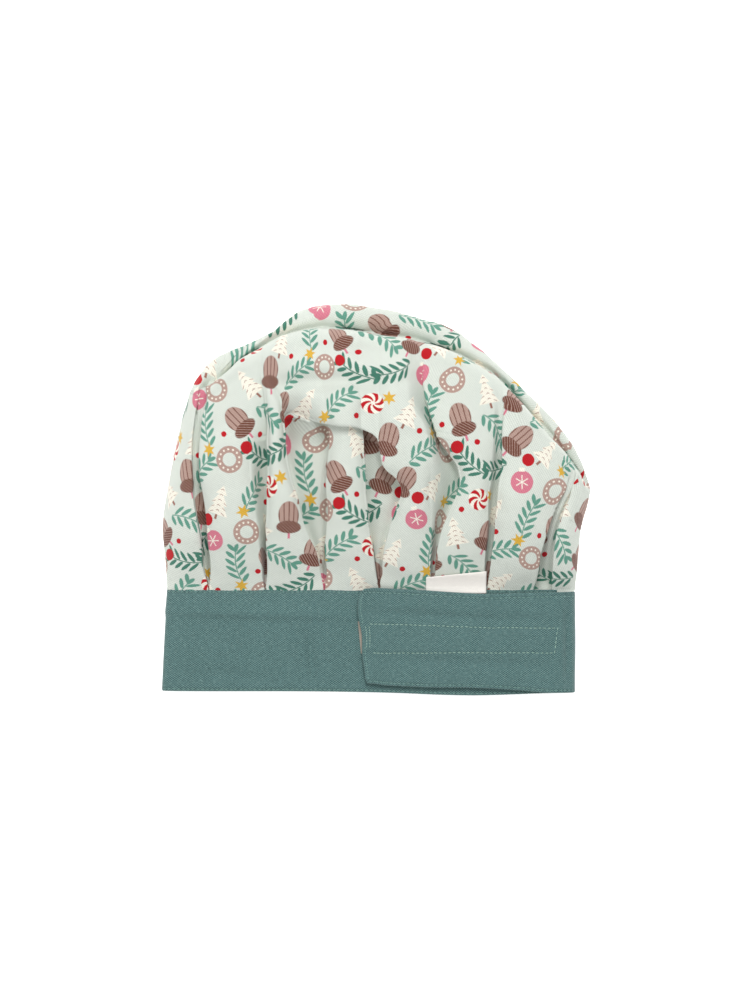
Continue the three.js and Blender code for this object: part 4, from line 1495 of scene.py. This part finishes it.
    def build(self, material: bpy.types.Material) -> bpy.types.Object:
        """Makes the crown as one sheet of cloth, gathered into the band.

        Args:
            material: the cloth's finish.

        Returns:
            The crown's piece.
        """
        self.lay_out()
        rows, fractions, seam, groove = self.upper_wall()
        rows = self.crumple(rows)
        back, picked = self.lower_wall(rows, seam)
        count, width = rows.shape[:2]
        across = back.shape[1]
        points = np.concatenate([rows.reshape(-1, 3), back[:-1, 1:-1].reshape(-1, 3)])
        faces = grid_faces(count, width)
        lip = np.flatnonzero(np.abs(fractions - self.swag_share) <= self.swag_gap)
        uvs = self.cloth_uvs(rows, fractions, groove, slice(lip[0] - 1, lip[-1] + 1))
        number = np.zeros((count, across), int)
        number[:, 0] = np.arange(count) * width
        number[:, -1] = np.arange(count) * width + width - 1
        number[:-1, 1:-1] = count * width + np.arange((count - 1) * (across - 2)).reshape(count - 1, -1)
        number[-1] = (count - 1) * width + picked
        a, b, c, d = number[:-1, :-1], number[:-1, 1:], number[1:, 1:], number[1:, :-1]
        body = np.stack([a, d, c, b], axis=-1)[:-1].reshape(-1, 4)
        end = []
        for j in range(across - 1):
            fan = [(count - 1) * width + i for i in range(picked[j], picked[j + 1] + 1)]
            middle = len(fan) // 2
            for k in range(len(fan) - 1):
                start = number[-2, j] if k < middle else number[-2, j + 1]
                end.append((start, fan[k], fan[k + 1], -1))
            end.append((number[-2, j], fan[middle], number[-2, j + 1], -1))
        back_faces = np.concatenate([body, np.array(end)])
        faces = np.concatenate([faces, back_faces])
        corners = points[np.maximum(back_faces, 0), :2] * (1, -1) + self.back_print
        uvs = np.concatenate([uvs, corners])
        piece = mesh_piece("printed_crown", in_frame(*points.T), faces, uvs, material)
        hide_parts("crown")
        LOG.info("crown: %d points, %d faces", len(points), len(faces))
        return piece


@dataclass
class Band:
    """The doubled band, which runs from the flap's end round the back to the under-end."""

    wall: float = 2.0
    back_z: float = 1.0
    half_width: float = 136.0
    side_z: float = 4.0
    crown_rise: float = 9.75
    left_flare: float = 3.3
    under_end: float = 118.0
    flap_end: float = -12.2
    flap_fold: float = 114.0
    flap_side: float = 129.0
    flap_lift: float = 4.9
    end_curl: float = 1.4
    curl_width: float = 9.0
    fold_z: float = 6.5
    # X at which the flat back turns up to the right side and to the left side.
    back_right: float = 121.0
    back_left: float = -131.0
    flap_top: tuple[tuple[float, float], ...] = (
        (-12.2, 0.9), (-7.6, 1.2), (12.9, 0.7), (32.7, -0.3), (52.5, -1.6), (72.7, -2.6),
        (92.2, -2), (129, -1.3),
    )
    flap_bottom: tuple[tuple[float, float], ...] = (
        (-12.2, -60.6), (-5, -61.2), (0, -61.8), (12.9, -62.4), (32.7, -63.4), (62.6, -63.7),
        (92.2, -65.3), (112.3, -67), (129, -67.3),
    )
    under_bottom: tuple[tuple[float, float], ...] = (
        (-137, -66.3), (-17, -66.6), (12.9, -67.3), (42.8, -68.5), (62.6, -68.9), (82.4, -68.5),
        (102.6, -67.8), (129, -67.3),
    )
    flap_cut: tuple[tuple[float, float], ...] = (
        (0, 4.6), (0.02, 3.3), (0.05, 1.9), (0.085, 1.0), (0.15, 0.25), (0.21, 0), (0.35, 1.1),
        (0.48, 2.7), (0.69, 3.0), (0.87, 4.5), (0.965, 5.4), (1, 6.4),
    )
    creases: tuple[Fold, ...] = (
        Fold(((-139, -16), (-90, -17.5), (-9, -19)), 3.2, 2.6, 9.0),
        Fold(((-41, -74), (-41.5, -50), (-44, -26)), -3.2, 3.0),
        Fold(((-124, -58), (-98, -55), (-68, -60)), -1.9, 4.5),
    )
    flap_creases: tuple[Fold, ...] = (
        Fold(((-12, -17), (40, -17.5), (124, -19)), -2.3, 3.5),
        Fold(((-9, -50), (40, -48.5), (124, -50.5)), -1.9, 4.5),
        Fold(((123.8, 8), (124.3, -76)), -2.0, 1.8),
    )
    pitch: float = 1.5
    edge_share: float = 0.012

    def under_z(self, x: Array) -> Array:
        """Z of the middle of the under-layer."""
        return self.side_z + self.crown_rise * lens(np.clip(x / self.half_width, -1, 1), 4)

    def path(self) -> Array:
        """The band's middle line as X, Z and how far it belongs to the flap, evenly spaced.

        Returns:
            Rows of millimetres along the band, X, Z and the share of the flap.
        """
        legs = []

        def leg(x: Array, z: Array | float, flap: Array | float) -> None:
            """Adds one leg of the line."""
            legs.append(np.stack(np.broadcast_arrays(x, z, flap), axis=1))

        x = np.linspace(self.flap_end, self.flap_fold, 80)
        leg(x, self.under_z(x) + self.flap_lift, 1.0)
        a = np.linspace(0, np.pi / 2, 24)[1:]
        top = self.under_z(self.flap_fold) + self.flap_lift
        right = mix(self.flap_fold, self.flap_side, np.sin(a))
        leg(right, mix(self.fold_z, top, np.cos(a)), 1.0)
        right = mix(self.back_right, self.flap_side, np.cos(a))
        leg(right, mix(self.fold_z, self.back_z, np.sin(a)), 1 - ease(0, np.pi / 2, a))
        leg(np.linspace(self.back_right, self.back_left, 150)[1:], self.back_z, 0.0)
        left = mix(self.back_left, -self.half_width, np.sin(a))
        leg(left, mix(self.side_z, self.back_z, np.cos(a)), 0.0)
        a = np.linspace(0, np.radians(80), 30)[1:]
        x = -self.half_width * np.sqrt(np.cos(a))
        leg(x, self.side_z + self.crown_rise * np.sin(a), 0.0)
        x = np.linspace(x[-1], self.under_end, 90)[1:]
        leg(x, self.under_z(x), 0.0)
        line = np.concatenate(legs)
        length = lengths_along(line[:, :2])
        even = np.linspace(0, length[-1], int(length[-1] / self.pitch))
        even = np.unique(np.concatenate([even, [0.15, 0.4, 0.8, length[-1] - 0.8, length[-1] - 0.3]]))
        return np.stack([even] + [np.interp(even, length, line[:, k]) for k in range(3)], axis=1)

    def surface(self, arc: Array, drop: Array, out: Array) -> Array:
        """Points of the band.

        Args:
            arc: millimetres along the band from the flap's end.
            drop: share of the way down from the top edge, from 0 to 1.
            out: millimetres out from the band's middle line.

        Returns:
            The points, with the last axis for X, Y and Z.
        """
        path = self.path()

        def read(at: Array, column: int) -> Array:
            """One column of the path at places along the band."""
            return np.interp(at, path[:, 0], path[:, column])

        x, z, flap = (read(arc, k) for k in (1, 2, 3))
        tangent = np.stack([read(arc + 0.5, k) - read(arc - 0.5, k) for k in (1, 2)])
        tangent /= np.maximum(np.hypot(*tangent), 1e-9)
        top = along_table(self.flap_top, x) * flap
        bottom = mix(along_table(self.under_bottom, x), along_table(self.flap_bottom, x), flap)
        leaning = self.left_flare * drop * np.abs(np.minimum(x, 0) / self.half_width) ** 3
        flare = np.where((x < 0) & (flap < 0.5), -leaning, 0)
        cut = self.end_cut(x, drop) * (flap > 0.5)
        slack = Waves(21, 46, 0.28).at(arc, drop * 30) * ease(0, 12, arc) * ease(self.back_z, 4, z)
        on_under = (flap < 0.5) & (z > self.side_z)
        for folds, here in ((self.creases, on_under), (self.flap_creases, flap > 0.5)):
            slack = slack + sum(fold.at(x, drop * -BAND_HEIGHT) for fold in folds) * here
        inside = np.clip(drop, 0, 1)
        out = out + slack * np.sin(np.pi * inside) ** 0.5
        out = out + self.end_curl * np.exp(-((arc / self.curl_width) ** 2)) * (1 - 0.6 * inside)
        across = x + flare + cut - tangent[1] * out
        return in_frame(across, mix(top, bottom, drop), z + tangent[0] * out)

    def end_cut(self, x: Array, drop: Array) -> Array:
        """How far the flap's shaped end pushes its cloth in, at a share of the way down."""
        return along_table(self.flap_cut, drop) * (1 - ease(self.flap_end, 14, x))

    def flap_place(self, x: float, height: float) -> tuple[float, float]:
        """The arc and the share of the way down of a point on the flap.

        Args:
            x: the point's X.
            height: its height above the seam.

        Returns:
            Millimetres along the band, and the share of the way down.
        """
        path_x = x
        for _ in range(12):
            top = float(along_table(self.flap_top, path_x))
            bottom = float(along_table(self.flap_bottom, path_x))
            drop = (top - height) / (top - bottom)
            path_x = x - float(self.end_cut(path_x, drop))
        return self.arc_of(path_x), drop

    def arc_of(self, x: float) -> float:
        """The place along the flap that lies at an X."""
        path = self.path()
        flap = path[path[:, 3] > 0.99]
        flap = flap[np.argsort(flap[:, 1])]
        return float(np.interp(x, flap[:, 1], flap[:, 0]))

    def build(self, material: bpy.types.Material) -> bpy.types.Object:
        """Makes the band as one closed strip with soft folded edges.

        Args:
            material: the canvas's finish.

        Returns:
            The band's piece.
        """
        arcs = self.path()[:, 0]
        edge = self.edge_share
        inner = np.concatenate([[edge, 0.03, 0.05], np.linspace(0.075, 0.925, 30), [0.95, 0.97, 1 - edge]])
        turn = np.linspace(0, np.pi, 7)[1:-1]
        bulge = edge * np.sin(turn)
        drops = np.concatenate([inner, 1 - edge + bulge, inner[::-1], edge - bulge])
        side = np.ones(len(inner))
        outs = np.concatenate([side, np.cos(turn), -side, -np.cos(turn)]) * self.wall / 2
        ends = np.minimum(arcs, arcs[-1] - arcs)
        thin = np.sqrt(np.clip(1 - (1 - np.clip(ends, 0, 1)) ** 2, 0.02, 1))
        rows = self.surface(arcs[:, None], drops[None], outs[None] * thin[:, None])
        count, around = rows.shape[:2]
        points = rows.reshape(-1, 3)
        r, c = np.meshgrid(np.arange(count - 1) * around, np.arange(around), indexing="ij")
        beside = (c + 1) % around
        faces = np.stack([r + c, r + beside, r + around + beside, r + around + c], axis=-1).reshape(-1, 4)
        down = drops * BAND_HEIGHT
        level = np.stack(np.broadcast_arrays(arcs[:, None], down[None]), axis=-1).reshape(-1, 2)
        pair = len(inner)
        caps = []
        for row in (0, count - 1):
            for j in range(pair - 1):
                a, b = row * around + j, row * around + j + 1
                mirror = 2 * pair + len(turn) - 1 - j
                d, e = row * around + mirror, row * around + mirror - 1
                caps.append([a, d, e, b] if row == 0 else [a, b, e, d])
        faces = np.concatenate([faces, caps])
        piece = mesh_piece("woven_band", points, faces, level[faces], material)
        turn_faces_out(piece)
        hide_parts("band")
        LOG.info("band: %d points, %.0f mm long", len(points), arcs[-1])
        return piece


BAND = Band()


def turn_faces_out(piece: bpy.types.Object) -> None:
    """Fills any holes in a closed piece and turns its faces outwards.

    Args:
        piece: the piece to close.
    """
    deselect_all()
    piece.select_set(True)
    bpy.context.view_layer.objects.active = piece
    bpy.ops.object.mode_set(mode="EDIT")
    bpy.ops.mesh.select_all(action="DESELECT")
    bpy.ops.mesh.select_non_manifold()
    bpy.ops.mesh.fill_holes(sides=0)
    bpy.ops.mesh.select_all(action="SELECT")
    bpy.ops.mesh.normals_make_consistent(inside=False)
    bpy.ops.object.mode_set(mode="OBJECT")
    deselect_all()


@dataclass
class Stitching:
    """Rows of short lockstitches on the band's outer face."""

    pitch: float = 3.0
    share: float = 0.68
    out: float = 1.05
    thick: float = 0.46
    lowest: float = -0.15

    def template(self) -> tuple[Array, Array]:
        """One stitch of length 1 along X, modelled once: its points and its faces.

        Returns:
            Its points, and the three corner numbers of each face.
        """
        deselect_all()
        bpy.ops.mesh.primitive_uv_sphere_add(segments=8, ring_count=6, radius=0.5, location=(0, 0, 0))
        bead = bpy.context.active_object
        bpy.ops.object.mode_set(mode="EDIT")
        bpy.ops.mesh.select_all(action="SELECT")
        bpy.ops.transform.rotate(value=math.pi / 2, orient_axis="Y", center_override=(0, 0, 0))
        bpy.ops.transform.resize(value=(1, self.thick, self.thick))
        bpy.ops.mesh.quads_convert_to_tris()
        bpy.ops.object.mode_set(mode="OBJECT")
        points = np.array([v.co[:] for v in bead.data.vertices])
        faces = np.array(sorted(list(p.vertices) for p in bead.data.polygons))
        bpy.data.objects.remove(bead)
        return points, faces

    def row(self, arcs: Array, drops: Array, pitch: float | None = None) -> Array:
        """Stitch places along a line on the band.

        Args:
            arcs: millimetres along the band at the line's corner points.
            drops: share of the way down the band at the same points.
            pitch: millimetres from stitch to stitch, or None for the usual pitch.

        Returns:
            The middle, length along and outward normal of each stitch, shaped (stitches, 3, 3).
        """
        line = np.stack([arcs, drops * BAND_HEIGHT], axis=1)
        length = lengths_along(line)
        pitch = pitch or self.pitch
        at = np.arange(1.0, length[-1], pitch)

        def place(s: Array, height: float) -> Array:
            """Points on the band at distances along the line."""
            arc, down = (np.interp(s, length, line[:, k]) for k in (0, 1))
            return BAND.surface(arc, down / BAND_HEIGHT, height)

        middle = place(at, self.out)
        along = place(at + 0.4, self.out) - place(at - 0.4, self.out)
        along *= self.share * pitch / np.linalg.norm(along, axis=-1, keepdims=True)
        normal = place(at, self.out + 1.0) - middle
        return np.stack([middle, along, normal], axis=1)

    def sew(self, name: str, rows: list[Array], material: bpy.types.Material) -> bpy.types.Object:
        """Makes one piece of all the stitches in these rows.

        Args:
            name: the piece's name.
            rows: the stitch places of each row.
            material: the thread.

        Returns:
            The stitches' piece.
        """
        points, faces = self.template()
        frames = np.concatenate(rows)
        along = frames[:, 1]
        length = np.linalg.norm(along, axis=1, keepdims=True)
        normal = frames[:, 2] / np.linalg.norm(frames[:, 2], axis=1, keepdims=True)
        side = np.cross(normal, along / length)
        draw = np.random.RandomState(5)
        jitter = draw.uniform(-0.12, 0.12, (len(frames), 2))
        tilt = draw.uniform(-0.14, 0.14, (len(frames), 1))
        along = along + side * tilt * length
        middle = frames[:, 0] + side * jitter[:, :1] + along * jitter[:, 1:]
        placed = middle[:, None] + sum(
            points[None, :, k:k + 1] * way[:, None] for k, way in enumerate((along, side, normal))
        )
        placed[..., 2] = np.maximum(placed[..., 2], self.lowest)
        first = np.arange(len(frames))[:, None, None] * len(points)
        every = (faces[None] + first).reshape(-1, faces.shape[1])
        piece = mesh_piece(name, placed.reshape(-1, 3), every, None, material)
        LOG.info("%s: %d stitches", name, len(frames))
        return piece

    def edge_rows(self) -> list[Array]:
        """The rows along the band's two long edges and down the flap's end.

        Returns:
            The stitch places of each row.
        """
        start, fold, end = 2.2, BAND.arc_of(127), BAND.path()[-1, 0] - 3
        edges = (
            (1.5 / BAND_HEIGHT, 2.9 / FLAP_HEIGHT),
            (1 - 1.4 / BAND_HEIGHT, 1 - 1.7 / FLAP_HEIGHT),
        )
        arcs = np.array([start, fold, fold + 25, end])
        rows = [self.row(arcs, np.array([flap, flap, band, band])) for band, flap in edges]
        for high, low in ((0.05, 0.36), (0.61, 0.97)):
            rows.append(self.row(np.array([start, start]), np.array([high, low]), 2.1))
        return rows

    def box_rows(self) -> list[Array]:
        """The box that holds the tape, closed by a dense double row near the flap's end.

        Returns:
            The stitch places of each row.
        """
        corners = ((-4.3, -22.1), (40, -23.3), (117.9, -25.0), (115.9, -41), (40, -41), (-2.6, -41))
        left = [((shift - 7.0, -23.4), (shift - 6.4, -37.4)) for shift in (0.0, 2.2)]
        rows = []
        for line, pitch in ((corners, self.pitch), (left[0], 1.9), (left[1], 1.9)):
            places = np.array([BAND.flap_place(*corner) for corner in line])
            rows.append(self.row(places[:, 0], places[:, 1], pitch))
        return rows


@dataclass
class Label:
    """The blank tape label under the flap's top edge, folded in at its two ends."""

    left: float = 32.4
    width: float = 39.2
    top_left: float = 8.2
    top_right: float = 12.3
    low: float = -2.4
    lift: float = 0.75
    end_fold: float = 3.2
    wall: float = 0.65
    fold_wall: float = 0.18

    def build(self, crown: bpy.types.Object, material: bpy.types.Material) -> bpy.types.Object:
        """Makes the label, lying on the crown's puff.

        Args:
            crown: the crown's piece, which the label rests on.
            material: the label's finish.

        Returns:
            The label's piece.
        """
        s, u = np.meshgrid(np.linspace(0, 1, 40), np.linspace(0, 1, 18), indexing="ij")
        x = self.left + self.width * s
        h = mix(self.low, mix(self.top_left, self.top_right, s), u)
        points = np.array([v.co[:] for v in crown.data.vertices]) / MM
        inside = (points[:, 0] > self.left + CENTRE_X - 1) & (points[:, 0] < self.left + self.width + 2)
        inside &= (points[:, 1] < SEAM_Y + 15) & (points[:, 1] > SEAM_Y - 1) & (points[:, 2] > 10)
        cloth = points[inside]
        heights = np.linspace(0, 13, 14)
        highest = [cloth[np.abs(cloth[:, 1] - SEAM_Y - k) < 1.2, 2].max() for k in heights]
        over_band = BAND.under_z(x) + BAND.wall / 2 + 0.2
        z = np.maximum(np.interp(h, heights, highest), over_band) + self.lift
        rim = np.minimum(np.minimum(s, 1 - s) * self.width, (1 - u) * 10)
        folded = np.minimum(s, 1 - s) * self.width < self.end_fold
        thick = self.wall - 0.35 * (1 - np.sqrt(np.clip(rim / 0.8, 0.01, 1))) + self.fold_wall * folded
        flat = np.stack([self.width * s, h], axis=-1)
        piece = slab("blank_label", in_frame(x, h, z), thick, flat, material)
        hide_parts("label")
        return piece


@dataclass
class Studio:
    """A plain pale floor, soft light and a camera straight above."""

    lens: float = 135.0
    distance: float = 2.4375
    camera_place: tuple[float, float] = (-0.0005, 0.0002)
    camera_rise: float = 0.02
    floor_side: float = 3.0
    floor_glow: float = 0.62
    sky_strength: float = 0.46

    def camera(self) -> None:
        """Puts the camera over the middle of the photograph's frame."""
        data = bpy.data.cameras.new("camera")
        data.lens = self.lens
        data.sensor_width = 36.0
        camera = bpy.data.objects.new("camera", data)
        camera.location = (*self.camera_place, self.distance + self.camera_rise)
        bpy.context.scene.collection.objects.link(camera)
        bpy.context.scene.camera = camera

    def floor(self) -> None:
        """Adds the floor."""
        deselect_all()
        bpy.ops.mesh.primitive_plane_add(size=self.floor_side, location=(0, 0, -0.0002))
        plane = bpy.context.active_object
        plane.name = "floor"
        graph = Graph("studio_floor")
        grain = graph.noise(graph.signal("ShaderNodeTexCoord", {}, {}, "Object"), 30.0)
        colour = graph.blend(grain, srgb(250, 250, 249), srgb(253, 253, 252))
        glow = {"Emission_Color": (1.0, 1.0, 1.0, 1.0), "Emission_Strength": self.floor_glow}
        finish = graph.finish(colour, 0.9, None, 0.0, Specular_IOR_Level=0.0, **glow)
        plane.data.materials.append(finish)
        deselect_all()

    def area(self, name: str, place: tuple[float, float, float], size: float, power: float) -> None:
        """Adds a soft square light that looks at the hat.

        Args:
            name: the light's name.
            place: where it stands, in metres.
            size: the length of its sides in metres.
            power: its power in watts.
        """
        data = bpy.data.lights.new(name, "AREA")
        data.energy = power
        data.size = size
        light = bpy.data.objects.new(name, data)
        light.location = place
        light.rotation_mode = "QUATERNION"
        light.rotation_quaternion = (-mathutils.Vector(place)).to_track_quat("-Z", "Y")
        bpy.context.scene.collection.objects.link(light)

    def light(self) -> None:
        """Adds an even sky and two soft lights."""
        world = bpy.data.worlds.new("sky")
        world.use_nodes = True
        background = world.node_tree.nodes["Background"]
        background.inputs[0].default_value = (1.0, 1.0, 1.0, 1.0)
        background.inputs[1].default_value = self.sky_strength
        bpy.context.scene.world = world
        self.area("key", (0.12, 1.06, 2.0), 0.8, 30.0)
        self.area("fill", (-1.0, -0.5, 1.9), 1.4, 9.5)
        view = bpy.context.scene.view_settings
        view.view_transform = "Standard"
        view.look = "None"


@dataclass
class ClosureTape:
    """One of the two closure tapes between the band's under-end and the flap."""

    node: str
    slot: str
    finish: TapeNap
    level: float
    end_shift: float
    wall: float = 1.0
    high: float = -20.6
    low: float = -41.6
    right: float = 116.0
    left_high: float = -12.0
    left_low: float = -9.9
    length: float = 127.0

    def build(self) -> bpy.types.Object:
        """Makes the tape, with its left end cut along the flap's slanting end.

        Returns:
            The tape's piece.
        """
        s, u = np.meshgrid(np.linspace(0, 1, 90), np.linspace(0, 1, 12), indexing="ij")
        h = mix(self.high, self.low, u)
        left = mix(self.left_high, self.left_low, u) + self.end_shift
        x = mix(left, self.right, s)
        z = BAND.under_z(x) + BAND.wall / 2 + self.level
        rim = np.minimum(np.minimum(u, 1 - u) * (self.high - self.low), np.minimum(s, 1 - s) * self.length)
        thick = self.wall * (0.6 + 0.4 * np.sqrt(np.clip(rim / 0.9, 0.01, 1)))
        flat = np.stack([x - self.right, h], axis=-1)
        piece = slab(self.node + "_tape", in_frame(x, h, z), thick, flat, self.finish.material())
        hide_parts(self.node)
        return piece


def main() -> None:
    """Builds the studio and then the hat's pieces in order."""
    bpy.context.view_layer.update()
    studio = Studio()
    studio.camera()
    studio.floor()
    studio.light()
    crown = Crown().build(PrintedCotton().material())
    BAND.build(BandCanvas().material())
    stitching = Stitching()
    teal = Thread("teal_thread", srgb(122, 160, 151)).material()
    green = Thread("green_thread", srgb(160, 192, 176)).material()
    stitching.sew("edge_stitching", stitching.edge_rows(), teal)
    stitching.sew("tape_box_stitching", stitching.box_rows(), green)
    Label().build(crown, LabelTape().material())
    hooks = TapeNap("hook_tape", srgb(172, 163, 150), 0.35)
    loops = TapeNap("loop_tape", srgb(166, 160, 149), 0.85)
    ClosureTape("hook_strip", "hook_tape", hooks, 0.8, 0.0).build()
    ClosureTape("loop_strip", "loop_tape", loops, 2.1, 1.4).build()


if __name__ == "__main__":
    main()
